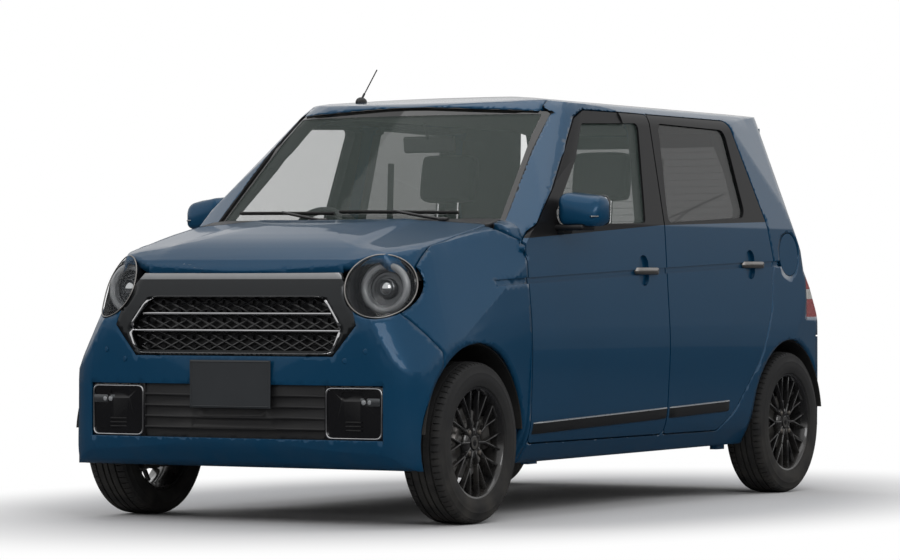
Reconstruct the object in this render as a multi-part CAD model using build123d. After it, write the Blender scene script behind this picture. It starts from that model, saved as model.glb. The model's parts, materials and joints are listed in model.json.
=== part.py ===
"""Five-door kei car, built from separate panels, doors, wheels and running gear.

X points forward, Y to the car's left and Z up. The origin is on the ground, under the middle of the car.
The body's outside is one rounded block, made of a nose and a cabin. Each is the meeting of a few prisms:
a side view, a plan, a cross-section, and leaning ones for the windscreen, the tailgate and the nose.
The same block, moved inwards, gives the inside of the panels, doors and glass.
"""

from build123d import *
from functools import lru_cache
from math import atan2, cos, hypot, pi, radians, sin, tan
import os

# ---------------------------------------------------------------- driving dimensions, in mm
LENGTH = 3395.0
WIDTH = 1475.0
HEIGHT = 1545.0
WHEELBASE = 2520.0
FRONT_OVERHANG = 454.0
TRACK = 1305.0
GROUND_CLEARANCE = 190.0

SKIN = 20.0  # outer panel
WALL = 85.0  # whole door or side wall
FRAME = 46.0  # window frames, roof with its lining, tailgate and lamps
GAP = 6.0  # shut line
LAP = 40.0  # how far a door's outer panel laps over the door frame
FRAME_CLEAR = 14.0  # round the inner part of a door
SEAL = 0.3  # between a closed panel and its seat
GLASS = 5.0
GLASS_DEPTH = 8.0  # how far the door glass lies below the skin

TYRE_RADIUS = 281.0
TYRE_WIDTH = 165.0
TYRE_SHOULDER = 24.0
RIM_RADIUS = 190.0
RIM_WIDTH = 132.0
RIM_WALL = 9.0
HUB_RADIUS = 58.0
HUB_THICKNESS = 34.0
FORKS = 10  # forked spokes
FORK_APEX = (86.0, 72.0)  # radius where they fork, in turn
SPOKE_WIDTH = 10.0
SPOKE_DEPTH = 20.0
ARCH_RADIUS = 345.0
ARCH_OFFSET = 9.0  # the front arch sits this far ahead of its wheel
REAR_ARCH_RADIUS = 330.0
LINER = 6.0
STUB_RADIUS = 22.0
STUB_FIT = 0.05
STRUT_RADIUS = 24.0
KINGPIN_Y = 590.0
KINGPIN_Z = 200.0
KINGPIN_LEAN = 0.2

LAMP_RADIUS = 116.0
LAMP_TURN = 10.0
PLATE_WIDTH = 330.0
PLATE_HEIGHT = 165.0
PLATE_STAND = 6.0  # how far the front plate stands out
FUEL_LID_RADIUS = 84.0
STEERING_WHEEL_RADIUS = 178.0
COLUMN = 130.0
STEERING_RIM = 14.0
COLUMN_ANGLE = 28.0

FRONT = LENGTH / 2
NOSE = FRONT - PLATE_STAND
TAIL = -LENGTH / 2
SIDE = WIDTH / 2
FRONT_AXLE = FRONT - FRONT_OVERHANG
REAR_AXLE = FRONT_AXLE - WHEELBASE
WHEEL_Y = TRACK / 2
SILL = GROUND_CLEARANCE
BELT = 1052.0
FAR = 3000.0  # past the whole car


def crown(radius, fall):
    """How far the corner of two lines, each falling by that many degrees, stands above their arc."""
    return radius * (1 / cos(radians(fall)) - 1)


# ---------------------------------------------------------- outlines: rows of (across, up, corner radius)
SIDE_FALL, SIDE_ARC, WIDEST = 3.4, 1200.0, 600.0
ROOF_FALL, ROOF_ARC, ROOF_EDGE = 5.8, 3200.0, 629.0
NOSE_FALL, NOSE_ARC = 2.4, 4200.0
SIDE_Y = SIDE + crown(SIDE_ARC, SIDE_FALL)
ROOF_Z = HEIGHT + crown(ROOF_ARC, ROOF_FALL)
# Half of the cabin's cross-section, y and z, from the sill to the middle of the roof.
CABIN_SECTION = [
    (SIDE - 80, SILL, 50),
    (SIDE_Y - 300 * tan(radians(SIDE_FALL)), SILL + 110, 250),
    (SIDE_Y, WIDEST, SIDE_ARC),
    (SIDE_Y - 452 * tan(radians(SIDE_FALL)), BELT, 60),
    (ROOF_EDGE, ROOF_Z - ROOF_EDGE * tan(radians(ROOF_FALL)), 95),
    (0, ROOF_Z, ROOF_ARC),
]
# The same for the nose, level with the front axle. It falls towards the front by NOSE_SLOPE.
NOSE_SECTION = [
    (SIDE - 80, SILL - 60, 50),
    (SIDE_Y - 350 * tan(radians(SIDE_FALL)), SILL + 60, 250),
    (SIDE_Y, WIDEST, SIDE_ARC),
    (SIDE_Y - 376 * tan(radians(SIDE_FALL)), 976, 125),
    (0, 1046, 2600),
]
NOSE_SLOPE = 0.19
# Half of the plan, x and y, from the nose to the tail.
PLAN_HALF = 712.0
PLAN = [
    (NOSE + crown(NOSE_ARC, NOSE_FALL), 0, NOSE_ARC),
    (NOSE + crown(NOSE_ARC, NOSE_FALL) - PLAN_HALF * tan(radians(NOSE_FALL)), PLAN_HALF, 140),
    (FRONT_AXLE, SIDE + 4, 1500),
    (REAR_AXLE, SIDE + 4, 1500),
    (TAIL - crown(NOSE_ARC, NOSE_FALL) + PLAN_HALF * tan(radians(NOSE_FALL)), PLAN_HALF, 150),
    (TAIL - crown(NOSE_ARC, NOSE_FALL), 0, NOSE_ARC),
]
# Side view of the nose, x and z.
NOSE_SIDE = [
    (0, SILL + 5, 0),
    (NOSE - 60, SILL + 5, 60),
    (NOSE - 6, 270, 60),
    (NOSE + 2, 470, 300),
    (NOSE - 30, 790, 300),
    (NOSE - 62, 868, 20),
    (NOSE - 108, 914, 40),
    (NOSE - 220, 974, 400),
    (FRONT_AXLE - 13, 1034, 700),
    (930, 1062, 600),
    (0, 1075, 0),
]
SCREEN_BASE = (985.0, 1045.0)  # middle of the windscreen's foot, x and z
SCREEN_TOP = (470.0, 1495.0)
SCREEN_RADIUS = 1500.0  # how the windscreen bends from side to side
GATE_TOP = (-1475.0, 1430.0)
GATE_BASE = (TAIL + 68.0, 800.0)
GATE_RADIUS = 1500.0
LEDGE = 606.0  # where the rear bumper's shoulder starts
LEDGE_LEAN = 0.75
LEDGE_RADIUS = 4000.0
CABIN_SIDE = [
    (1500, SILL, 0),
    (1500, 590, 0),
    (SCREEN_TOP[0], SCREEN_TOP[1] + 3, 120),
    (-60, HEIGHT + 8.4, 3600),
    (-1230, HEIGHT - 34, 500),
    (-1466, HEIGHT - 64, 50),
    (TAIL - 1, 700, 120),
    (TAIL - 1, 340, 200),
    (TAIL + 50, SILL + 20, 40),
]
# Rounded upright corners of the cabin, which fade out towards the belt: corner (x, y) at 1440 mm, lean,
# slopes of the side and of the end away from the corner, radius and where they start.
CORNER_LEVEL = 1440.0
SCREEN_CORNER = ((393.0, 590.0), (1.10, 0.412), (0.11, 0.502), 230.0, 1040.0)
GATE_CORNER = ((-1352.0, 590.0), (-0.165, 0.309), (0.12, 0.46), 200.0, 820.0)
CABIN_FOOT = [(0, -FAR), (880, -FAR), (880, 930), (1000, 1035), (1300, 1300), (1300, FAR), (-FAR, FAR),
              (-FAR, -FAR)]
NOSE_START = 872.0
CORNER_RADIUS = 487.0  # rounding of the nose's upper corners
CORNER_AT = (NOSE + 127.0, SIDE - 76.0, 600.0)
CORNER_LEAN = (0.2325, 0.35)
CORNER_FLARE = 0.2  # how fast the rounding runs out towards the doors

# Side views, x and z, of the doors and their windows.
FRONT_DOOR = [
    (855, 268, 30),
    (888, 933, 0),
    (884, 985, 20),
    (800, 1040, 20),
    (300, 1440, 60),
    (225, 1470, 40),
    (-218, 1470, 14),
    (-201, 1054, 0),
    (-201, 268, 24),
]
FRONT_WINDOW = [
    (690, 1042, 30),
    (276, 1421, 34),
    (-125, 1435, 24),
    (-52, 1058, 24),
]
REAR_DOOR = [
    (-209, 268, 24),
    (-209, 1054, 0),
    (-226, 1470, 14),
    (-905, 1470, 50),
    (-1094, 1085, 40),
    (-1143, 930, 0),
    (-1106, 740, 60),
    (-1000, 540, 330),
    (-790, 345, 330),
    (-669, 268, 60),
]
REAR_WINDOW = [
    (-240, 1062, 24),
    (-293, 1440, 24),
    (-860, 1434, 50),
    (-925, 1092, 40),
]
# Front views, y and z, of half of each.
SCREEN_EDGE = [(613, 1036), (539, 1462)]
GATE_HALF = [(568, 628), (600, 760), (600, 1010), (545, 1380), (503, 1490)]
GATE_WINDOW = [(505, 1070, 60), (445, 1392, 60)]
MASK_HALF = [(403, 583), (490, 688), (455, 790), (397, 868)]
GRILLE_HALF = [(396, 595), (432, 676), (353, 783)]
INTAKE = (597, 298, 484)
# Plan of half of the bonnet, x and y.
BONNET_HALF = [(1058, 0, 1800), (966, 606, 20), (1478, 600, 60), (1548, 540, 60), (1604, 395, 30),
               (1626, 0, 3000)]
LAMP_CENTRE = (1578.0, 536.0, 820.0)

# Edges, hinges and places of the smaller parts.
FENDER_EDGE = [(861, 0), (861, 268), (894, 933), (894, 985), (1000, 1020), (1000, 1400)]
SPLIT_Y = 600.0  # inner edge of the fenders and of the body sides
RAIL_Y = 503.0  # edge of the roof panel
BUMPER_EDGE = [(1560, 700), (1478, 590)]
REAR_BUMPER_X = -1545.0
BUMPER_TOP = 620.0
TAIL_LAMP_X = -1440.0
TAIL_LAMP = [(588, 700, 20), (760, 700, 0), (760, 962, 0), (604, 962, 20)]
GATE_HINGE = (-1392.0, 1491.0)
PILLAR_Y = (706.0, 634.0)  # where the door's front edge meets the pillar, at its foot and top
JACK_POINTS = (700.0, -830.0)
JACK_Z = 186.0
FUEL_LID = (-1290.0, 950.0)
FUEL_PIN = (FUEL_LID[0] + FUEL_LID_RADIUS + 36, 700.0)  # x and y of the lid's hinge pin
FUEL_PIN_RADIUS = 3.0
FLOOR_Z = 232.0
FLOOR = 30.0
BOOT_Z = 330.0
STEP_X = -945.0
BULKHEAD = 868.0
HINGE_SPREAD = 150.0
HINGE_RADIUS = 7.0
HINGE_PIN = 3.5
BONNET_LOW = 868.0
LAMP_BACK = 1500.0
TOWER_Z = 850.0
CHARACTER_LINE = [(1097, 833), (74, 872), (-839, 904), (-1354, 916)]
GROOVE = 22.0
RECESS = (38.0, 57.0)
FRONT_HANDLE = (-16.0, 881.0)
REAR_HANDLE = (-934.0, 908.0)
HINGE_ROOM = 22.0  # more room in front of a door's inner part, which swings forwards there
ENGINE_Z = 300.0
TOW_EYE = (420.0, 400.0)  # rear towing socket, y and z
TOW_RADIUS = 8.0
TOW_LENGTH = 45.0
TOW_OPENING = 22.0  # half of the square hole in the bumper


# ---------------------------------------------------------------- drawing helpers
def anticlockwise(rows):
    area = sum(rows[i - 1][0] * rows[i][1] - rows[i][0] * rows[i - 1][1] for i in range(len(rows)))
    return list(rows) if area > 0 else list(reversed(rows))


def inset(rows, depth):
    """The closed outline moved inwards by depth, or outwards where depth is negative."""
    rows = anticlockwise([(*row, 0)[:3] for row in rows])
    moved = []
    for i, (a, b, r) in enumerate(rows):
        (pa, pb, _), (na, nb, _) = rows[i - 1], rows[(i + 1) % len(rows)]
        before, after = atan2(b - pb, a - pa), atan2(nb - b, na - a)
        n1, n2 = (-sin(before), cos(before)), (-sin(after), cos(after))
        scale = depth / (1 + n1[0] * n2[0] + n1[1] * n2[1])
        convex = sin(after - before) > 0
        radius = r - depth if convex else r + depth
        moved.append((a + scale * (n1[0] + n2[0]), b + scale * (n1[1] + n2[1]), max(radius, 0) if r else 0))
    return moved


def face(rows, plane=Plane.XY):
    """A closed face from rows of (across, up, corner radius)."""
    rows = anticlockwise([(*row, 0)[:3] for row in rows])
    line = FilletPolyline(*[(a, b) for a, b, _ in rows], radius=[r for _, _, r in rows], close=True)
    return (plane * make_face(line.edges())).face()


def both(half, axis=0):
    """The half outline and its mirror image, joined. Axis says which coordinate changes sign."""
    other = [tuple(-v if i == axis else v for i, v in enumerate(row))
             for row in reversed(half) if row[axis] > 0]
    return anticlockwise([(*row, 0)[:3] for row in half + other])


def along_x(rows, start=-FAR, end=FAR):
    """A prism along X from an outline of (y, z)."""
    plane = Plane(origin=(start, 0, 0), x_dir=(0, 1, 0), z_dir=(1, 0, 0))
    return Solid.extrude(face(rows, plane), Vector(end - start, 0, 0))


def along_y(rows, start=-FAR, end=FAR):
    """A prism along Y from an outline of (x, z)."""
    plane = Plane(origin=(0, end, 0), x_dir=(1, 0, 0), z_dir=(0, -1, 0))
    return Solid.extrude(face(rows, plane), Vector(0, start - end, 0))


def along_z(rows, start=-FAR, end=FAR):
    """A prism along Z from an outline of (x, y)."""
    return Solid.extrude(face(rows, Plane(origin=(0, 0, start))), Vector(0, 0, end - start))


def leaning(rows, height, lean_x, lean_y=0.0):
    """A prism from a plan outline at that height, moving by -lean for each mm upwards."""
    base = face([(a + lean_x * FAR, b + lean_y * FAR, r) for a, b, r in rows],
                Plane(origin=(0, 0, height - FAR)))
    return Solid.extrude(base, Vector(-2 * lean_x * FAR, -2 * lean_y * FAR, 2 * FAR))


def box(x0, x1, y0, y1, z0, z1):
    return Pos((x0 + x1) / 2, (y0 + y1) / 2, (z0 + z1) / 2) * Box(abs(x1 - x0), abs(y1 - y0), abs(z1 - z0))


def rod(start, end, radius):
    """A round bar between two points."""
    start, run = Vector(start), Vector(end) - Vector(start)
    bar = Cylinder(radius, run.length, align=(Align.CENTER, Align.CENTER, Align.MIN))
    return Plane(origin=start, z_dir=run) * bar


def mirrored(shape):
    return mirror(shape, Plane.XZ)


def pair(shape):
    """The shape and its mirror image on the right side."""
    return Compound(children=[*shape.solids(), *mirrored(shape).solids()])


# ---------------------------------------------------------------- the body block
def bowed(tip, radius, way, depth):
    """A wide plan outline whose end at x = tip is an arc, and which runs far the other way."""
    half = 900.0
    tip, radius = tip - way * depth, radius - depth
    angle = half / radius
    corner = tip + way * radius * (1 / cos(angle) - 1)
    reach = half + radius * tan(angle)
    back = corner - way * reach * tan(angle)
    return anticlockwise([(corner, 0, radius), (back, reach, 0), (-way * FAR, reach, 0),
                          (-way * FAR, -reach, 0), (back, -reach, 0)])


@lru_cache(maxsize=None)
def nose_block(depth):
    """The lower body ahead of the doors with its bonnet, moved inwards by depth."""
    start = Plane(origin=(FRONT_AXLE + FAR, 0, -NOSE_SLOPE * FAR), x_dir=(0, 1, 0), z_dir=(1, 0, 0))
    section = face(inset(both(NOSE_SECTION), depth), start)
    block = Solid.extrude(section, Vector(-2 * FAR, 0, 2 * FAR * NOSE_SLOPE))
    block = block & along_y(inset(NOSE_SIDE, depth)) & along_z(inset(both(PLAN, 1), depth))
    corner_x, corner_y, corner_z = CORNER_AT
    for hand in (1, -1):
        far_y = corner_y + CORNER_FLARE * (corner_x + FAR)
        rows = [(-FAR, hand * far_y), (-FAR, -hand * FAR), (corner_x, -hand * FAR)]
        rows = [*rows, (corner_x, hand * corner_y, CORNER_RADIUS)]
        block = block & leaning(inset(rows, depth), corner_z, CORNER_LEAN[0], CORNER_LEAN[1] * hand)
    return block & box(NOSE_START, FAR, -FAR, FAR, -FAR, FAR)


def corner_waste(corner, depth):
    """What a rounded upright corner of the cabin takes away on the left, moved inwards by depth."""
    (x, y), lean, (side_slope, end_slope), radius, start = corner
    way = 1 if x > 0 else -1
    rows = [
        (x, y, radius),
        (x - way * FAR, y + abs(side_slope) * FAR),
        (x - way * FAR, y - FAR),
        (x + way * end_slope * FAR, y - FAR),
    ]
    room = box(0, way * FAR, 300, 900, start, 1700)
    return room - leaning(inset(rows, depth), CORNER_LEVEL, *lean)


@lru_cache(maxsize=None)
def cabin_block(depth):
    """The cabin with its roof, moved inwards by depth."""
    screen_lean = (SCREEN_BASE[0] - SCREEN_TOP[0]) / (SCREEN_TOP[1] - SCREEN_BASE[1])
    gate_lean = (GATE_BASE[0] - GATE_TOP[0]) / (GATE_TOP[1] - GATE_BASE[1])
    gate = bowed(GATE_BASE[0], GATE_RADIUS, -1, depth * hypot(1, gate_lean))
    shoulder = bowed(TAIL - 1, LEDGE_RADIUS, -1, depth * hypot(1, LEDGE_LEAN))
    tail = leaning(gate, GATE_BASE[1], gate_lean) + leaning(shoulder, LEDGE, -LEDGE_LEAN)
    tail = tail & along_z(inset(both(PLAN, 1), depth))
    block = along_x(inset(both(CABIN_SECTION), depth)) & along_y(inset(CABIN_SIDE, depth)) & tail
    screen = bowed(SCREEN_BASE[0], SCREEN_RADIUS, 1, depth * hypot(1, screen_lean))
    block = block & leaning(screen, SCREEN_BASE[1], screen_lean) & along_y(CABIN_FOOT)
    for corner in (SCREEN_CORNER, GATE_CORNER):
        waste = corner_waste(corner, depth)
        block = block - waste - mirrored(waste)
    return block


@lru_cache(maxsize=None)
def block(depth):
    """The whole body, moved inwards by depth."""
    return nose_block(depth) + cabin_block(depth)


@lru_cache(maxsize=None)
def layer(outer, inner):
    """The part of the body between two depths below its skin."""
    return block(outer) - block(inner)


def panel(outline, outer=0.0, inner=SKIN):
    """What an outline prism cuts from a layer of the body."""
    return layer(outer, inner) & outline


def offset_side(rows, grow, start=0.0):
    """A prism along Y over the left side from an x-z outline grown by that much."""
    return along_y(inset(rows, -grow), start, FAR)


# ---------------------------------------------------------------- sides, roof and floor


def side_region():
    """Where a body side lies from the front: outside the windscreen, the roof panel and the floor."""
    (y0, z0), (y1, z1) = SCREEN_EDGE
    return along_x([(SPLIT_Y, 0), (SPLIT_Y, z0 - 60), (y0, z0), (y1, z1), (RAIL_Y, z1 + 22), (RAIL_Y, 1700),
                    (900, 1700), (900, 0)])


def gate_prism(grow, top=1640.0):
    """The tailgate's outline seen from behind, grown by that much."""
    half = [*GATE_HALF, (RAIL_Y, top)]
    return along_x(inset([(*row, 0) for row in both(half)], -grow), -FAR, -1000)


def gate_region(grow):
    """The tailgate's prism, cut off at its hinge line."""
    return gate_prism(grow) & box(-FAR, GATE_HINGE[0] + grow, -FAR, FAR, LEDGE + 20 - grow, FAR)


def pillar(gap):
    """The windscreen pillar's room beside the front door, ending that far short of the door."""
    plan = [(920, PILLAR_Y[0] - gap), (340, PILLAR_Y[1] - gap), (340, 0), (920, 0)]
    band = [(1000, 860), (770, 860), (770, 1034), (330, 1434), (330, 1500), (1000, 1500)]
    return along_z(plan, 860, 1500) & along_y(band, 0, FAR)


def left_side():
    side = side_layer(0.0, WALL) & box(-FAR, 935, 0, FAR, -FAR, FAR)
    fender = [(x - GAP, z) for x, z in FENDER_EDGE[:4]] + [(1000, 1026), (1200, 1060), (1200, 0)]
    pockets = (offset_side(FRONT_DOOR, GAP) - pillar(GAP)) + offset_side(REAR_DOOR, GAP) + along_y(fender, 0,
                                                                                                   FAR)
    side = side - (pockets - block(SKIN + SEAL))
    side = side - offset_side(FRONT_DOOR, FRAME_CLEAR - LAP) - offset_side(REAR_DOOR, FRAME_CLEAR - LAP)
    side = side - wheel_space(REAR_AXLE, REAR_ARCH_RADIUS) - gate_region(GAP)
    side = side - wheel_space(FRONT_AXLE + ARCH_OFFSET, ARCH_RADIUS) - groove()
    for x in JACK_POINTS:
        side = side + box(x - 35, x + 35, 612, 640, JACK_Z, 240)
    side = side - along_x(inset(TAIL_LAMP, -SEAL), -FAR, TAIL_LAMP_X + SEAL)
    return side - box(-FAR, REAR_BUMPER_X, 0, FAR, 0, BUMPER_TOP + GAP)


def wheel_space(axle, radius):
    return Pos(axle, 0, TYRE_RADIUS) * Rot(90, 0, 0) * Cylinder(radius, 2 * SIDE + 400)


def fuel_pocket(radius, low, high):
    centre = FUEL_LID
    return Pos(centre[0], (low + high) / 2, centre[1]) * Rot(90, 0, 0) * Cylinder(radius, high - low)


def hinge_rod(y, low, high, radius):
    return rod((GATE_HINGE[0], y + low, GATE_HINGE[1]), (GATE_HINGE[0], y + high, GATE_HINGE[1]), radius)


def roof():
    """Roof panel with the tailgate's hinge lugs and pins."""
    area = box(GATE_HINGE[0] + GAP, 900, -RAIL_Y + SEAL, RAIL_Y - SEAL, 1300, FAR)
    panel = (layer(0.0, FRAME) & area) - screen_prism(0.0)
    for y in (-HINGE_SPREAD, HINGE_SPREAD):
        lug = box(GATE_HINGE[0], GATE_HINGE[0] + 20, y - 10 + SEAL, y + 10 - SEAL, GATE_HINGE[1] - 7,
                  GATE_HINGE[1])
        panel = panel - hinge_rod(y, -31, 31, HINGE_RADIUS + 1.5) + lug
        panel = panel + hinge_rod(y, -10 + SEAL, 10 - SEAL, HINGE_RADIUS) + hinge_rod(y, -30, 30, HINGE_PIN)
    return panel


def screen_prism(grow):
    """The windscreen's outline seen from the front."""
    (y0, z0), (y1, z1) = SCREEN_EDGE
    rows = both([(y0, z0), (y1, z1), (0, z1 + 24, 2600)], 0)
    return along_x(inset(rows, -grow), 300, 1100)


def windscreen():
    pane = cabin_block(GLASS_DEPTH) - cabin_block(GLASS_DEPTH + GLASS)
    return (pane & screen_prism(-SEAL)) - nose_block(-SEAL)


def cowl():
    area = box(NOSE_START, 1100, -606, 606, 900, FAR) - bonnet_cut()
    return (nose_block(0.0) - nose_block(SKIN)) & area


def floor():
    """Front floor, the step up over the rear axle, bulkhead and rear panel with its bumper beam."""
    inner, rear = SPLIT_Y - SEAL, 545
    floor = box(STEP_X, BULKHEAD, -inner, inner, FLOOR_Z, FLOOR_Z + FLOOR)
    floor = floor + box(STEP_X, STEP_X + FLOOR, -rear, rear, FLOOR_Z, BOOT_Z + FLOOR)
    floor = floor + box(-1600, STEP_X + FLOOR, -rear, rear, BOOT_Z, BOOT_Z + FLOOR)
    floor = floor + box(-1625, -1600, -rear, rear, BOOT_Z, 596) + box(-1650, -1600, -300, 300, 490, 550)
    beam = layer(SKIN + SEAL, FRAME) & box(-FAR, -1600, -500, 500, 480, 560)
    bulkhead = block(WALL) & box(BULKHEAD - 23, BULKHEAD, -FAR, FAR, 0, 900)
    floor = floor + beam + bulkhead + box(BULKHEAD - 23, BULKHEAD, -inner, inner, FLOOR_Z, 320)
    socket_end = (-1605 - TOW_LENGTH, *TOW_EYE)
    socket = rod((-1605, *TOW_EYE), socket_end, 2 * TOW_RADIUS)
    return floor + socket - rod((-1605, *TOW_EYE), (-1900, *TOW_EYE), TOW_RADIUS)


# ---------------------------------------------------------------- front and rear panels
def lamp_axis(hand=1):
    return Vector(cos(radians(LAMP_TURN)), hand * sin(radians(LAMP_TURN)), 0.12).normalized()


def lamp_prism(grow, hand=1):
    x, y, z = LAMP_CENTRE
    centre, way = Vector(x, y * hand, z), lamp_axis(hand)
    return rod(centre - way * 160, centre + way * 200, LAMP_RADIUS + grow)


def fender():
    rows = [*FENDER_EDGE, (1700, 1400), (1700, 1000), (1640, 800), *[(x, z + GAP) for x, z in BUMPER_EDGE],
            (1478, 0)]
    side = (layer(0.0, SKIN) & along_y(rows, 0, FAR)) - bonnet_cut()
    side = side - box(0, 1000, -FAR, 612, -FAR, FAR) - wheel_space(FRONT_AXLE + ARCH_OFFSET, ARCH_RADIUS)
    side = side - lamp_prism(3) - mask_prism(2) - groove()
    return max((side & box(0, FAR, 150, FAR, 0, FAR)).solids(), key=lambda solid: solid.volume)


def mask_prism(grow):
    rows = [(*row, 0) for row in both(MASK_HALF)]
    return along_x(inset(rows, -grow), 1400, FAR)


def mask():
    return ((layer(0.0, SKIN) & mask_prism(0)) - along_x(both(GRILLE_HALF))
            - lamp_prism(3) - lamp_prism(3, -1) - bonnet_cut())


def bonnet_cut():
    return along_z(inset(both(BONNET_HALF, 1), -GAP), BONNET_LOW - 3, FAR)


def grille():
    """Mesh panel behind two bars."""
    hexagon = along_x(inset(both(GRILLE_HALF), SEAL), 1400)
    back = layer(13.0, SKIN) & hexagon
    bars = layer(8.0, 13.0) & hexagon & (box(0, FAR, -440, 440, 640, 652) + box(0, FAR, -440, 440, 704, 716))
    return back + bars


def front_bumper():
    y, low, high = INTAKE
    rows = [(BUMPER_EDGE[1][0], 0), BUMPER_EDGE[1], BUMPER_EDGE[0], (1640, 794), (1720, 794), (1720, 0)]
    bumper = layer(0.0, SKIN) & along_y(rows) & box(0, FAR, -FAR, FAR, 0, FAR)
    bumper = (bumper - mask_prism(2) - lamp_prism(3) - lamp_prism(3, -1)
              - wheel_space(FRONT_AXLE + ARCH_OFFSET, ARCH_RADIUS))
    bumper = bumper - box(1500, FAR, -y, y, low, high)
    keep = [solid for solid in bumper.solids() if solid.volume > 1e6]
    return keep[0] if len(keep) == 1 else Compound(children=keep)


def lower_grille():
    y, low, high = INTAKE
    inner = 368
    frame = layer(13.0, SKIN) & box(1500, FAR, -inner, inner, low + SEAL, high - SEAL)
    slats = layer(8.0, 13.0) & box(1500, FAR, -inner, inner, low + SEAL, high - SEAL)
    rows = [box(1500, FAR, -inner, inner, z, z + 8) for z in (low + 30, low + 68, low + 106, low + 144)]
    return frame + (slats & (rows[0] + rows[1] + rows[2] + rows[3]))


def fog_bezel():
    y, low, high = INTAKE
    plate = layer(8.0, SKIN) & box(1500, FAR, 368 + SEAL, y - SEAL, low + SEAL, high - SEAL)
    lamp = [(430, 430, 14), (520, 430, 14), (520, 462, 14), (430, 462, 14)]
    return (plate - along_x(lamp, 1500, FAR)) + (layer(13.0, SKIN) & along_x(lamp, 1500, FAR))


def rear_bumper():
    bumper = layer(0.0, SKIN) & box(-FAR, REAR_BUMPER_X - GAP, -FAR, FAR, 0, BUMPER_TOP)
    y, z = TOW_EYE
    bumper = bumper - box(-1900, -1500, y - TOW_OPENING, y + TOW_OPENING, z - TOW_OPENING, z + TOW_OPENING)
    return bumper - wheel_space(REAR_AXLE, REAR_ARCH_RADIUS)


def tail_lamp():
    return (layer(0.0, FRAME) & along_x(TAIL_LAMP, -FAR, TAIL_LAMP_X)) - gate_region(GAP)


def headlamp():
    lamp = (block(0.0) & lamp_prism(0) & box(LAMP_BACK, FAR, 0, FAR, 0, FAR)) - bonnet_cut()
    return max(lamp.solids(), key=lambda solid: solid.volume)


def front_frame():
    """Inner wings, strut towers, lamp brackets, bumper beam and the rails that carry the wings and bonnet."""
    start = BULKHEAD + SEAL
    wing = box(start, 1499, 398, 404, 300, 868)
    tower = box(FRONT_AXLE - 70, FRONT_AXLE + 70, 398, 530, TOWER_Z, 868)
    rails = layer(SKIN + SEAL, FRAME) & box(940, 1470, 545, 640, 800, FAR)
    link = (box(940, 962, 398, 610, 850, 990) + box(1440, 1462, 398, 610, 850, 900)) & block(SKIN + SEAL)
    lamp = box(1478, LAMP_BACK - SEAL, 398, 600, 720, 868)
    arm = box(1440, 1650, 380, 404, 500, 560)
    side = wing + tower + link + (rails - box(940, 1470, 0, 700, 0, 840)) + lamp + arm
    beam = layer(SKIN + SEAL, FRAME) & box(1500, FAR, -520, 520, 492, 600)
    return side + mirrored(side) + beam


def bonnet():
    return layer(0.0, SKIN) & along_z(both(BONNET_HALF, 1), BONNET_LOW, FAR)


def wheel_liner(centre, radius, inner, outer, low):
    """Half-round shell inside an arch, closed on its inner side."""
    turn = Rot(90, 0, 0)
    outside = turn * Cylinder(radius - SEAL, outer - inner)
    hollow = Pos(0, LINER, 0) * turn * Cylinder(radius - SEAL - LINER, outer - inner)
    shell = Pos(centre, (inner + outer) / 2, TYRE_RADIUS) * (outside - hollow)
    return shell & box(centre - 400, centre + 400, 0, FAR, low, FAR)


# ---------------------------------------------------------------- doors
@lru_cache(maxsize=None)
def side_layer(outer, inner):
    """The left side of a layer, outside the windscreen and the roof."""
    return layer(outer, inner) & side_region()


def groove():
    """The character line along the side, as what lies outside its floor."""
    low = [(x, z - GROOVE / 2) for x, z in CHARACTER_LINE]
    high = [(x, z + GROOVE / 2) for x, z in reversed(CHARACTER_LINE)]
    return along_y(low + high, 0, FAR) - block(GLASS_DEPTH)


def handle_recess(place):
    """The finger recess behind a door handle."""
    x, z = place
    half, tall = RECESS
    rows = [(x - half, z - tall, 36), (x + half, z - tall, 36), (x + half, z + tall, 36),
            (x - half, z + tall, 36)]
    return along_y(rows, 0, FAR) - block(GLASS_DEPTH + GLASS)


def door(outline, window, handle):
    skin = side_layer(0.0, SKIN) & along_y(outline, 0, FAR)
    inner = along_y(inset(outline, LAP), 0, FAR)
    inner = inner & Pos(-HINGE_ROOM, 0, 0) * inner
    body = side_layer(0.0, WALL) & inner & box(-FAR, FAR, 0, FAR, 0, BELT - 12)
    frame = side_layer(0.0, FRAME) & inner & box(-FAR, FAR, 0, FAR, BELT - 12, FAR)
    panel = skin + body + frame - along_y(window, 0, FAR) - pillar(0)
    return panel - groove() - handle_recess(handle)


def door_glass(window):
    return side_layer(GLASS_DEPTH, GLASS_DEPTH + GLASS) & along_y(inset(window, SEAL), 0, FAR)


def tailgate():
    gate = layer(0.0, FRAME) & gate_region(0)
    for y in (-HINGE_SPREAD, HINGE_SPREAD):
        gate = gate + hinge_rod(y, -30, 30, HINGE_RADIUS) - hinge_rod(y, -10, 10, HINGE_RADIUS + 2)
        gate = gate - hinge_rod(y, -31, 31, HINGE_PIN + STUB_FIT)
    return gate - along_x(both([(y, z, r) for y, z, r in GATE_WINDOW]), -FAR, -1200)


def gate_glass():
    return layer(GLASS_DEPTH, GLASS_DEPTH + GLASS) & along_x(inset(both(GATE_WINDOW), SEAL), -FAR, -1200)


def fuel_hinge_pocket():
    """Room for the lid's arm behind the skin, and the pin it turns on."""
    x, y = FUEL_PIN
    pocket = box(x - 52, x + 15, y - 56, y + 13, FUEL_LID[1] - 20, FUEL_LID[1] + 20)
    return pocket, rod((x, y, FUEL_LID[1] - 22), (x, y, FUEL_LID[1] + 22), FUEL_PIN_RADIUS)


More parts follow.
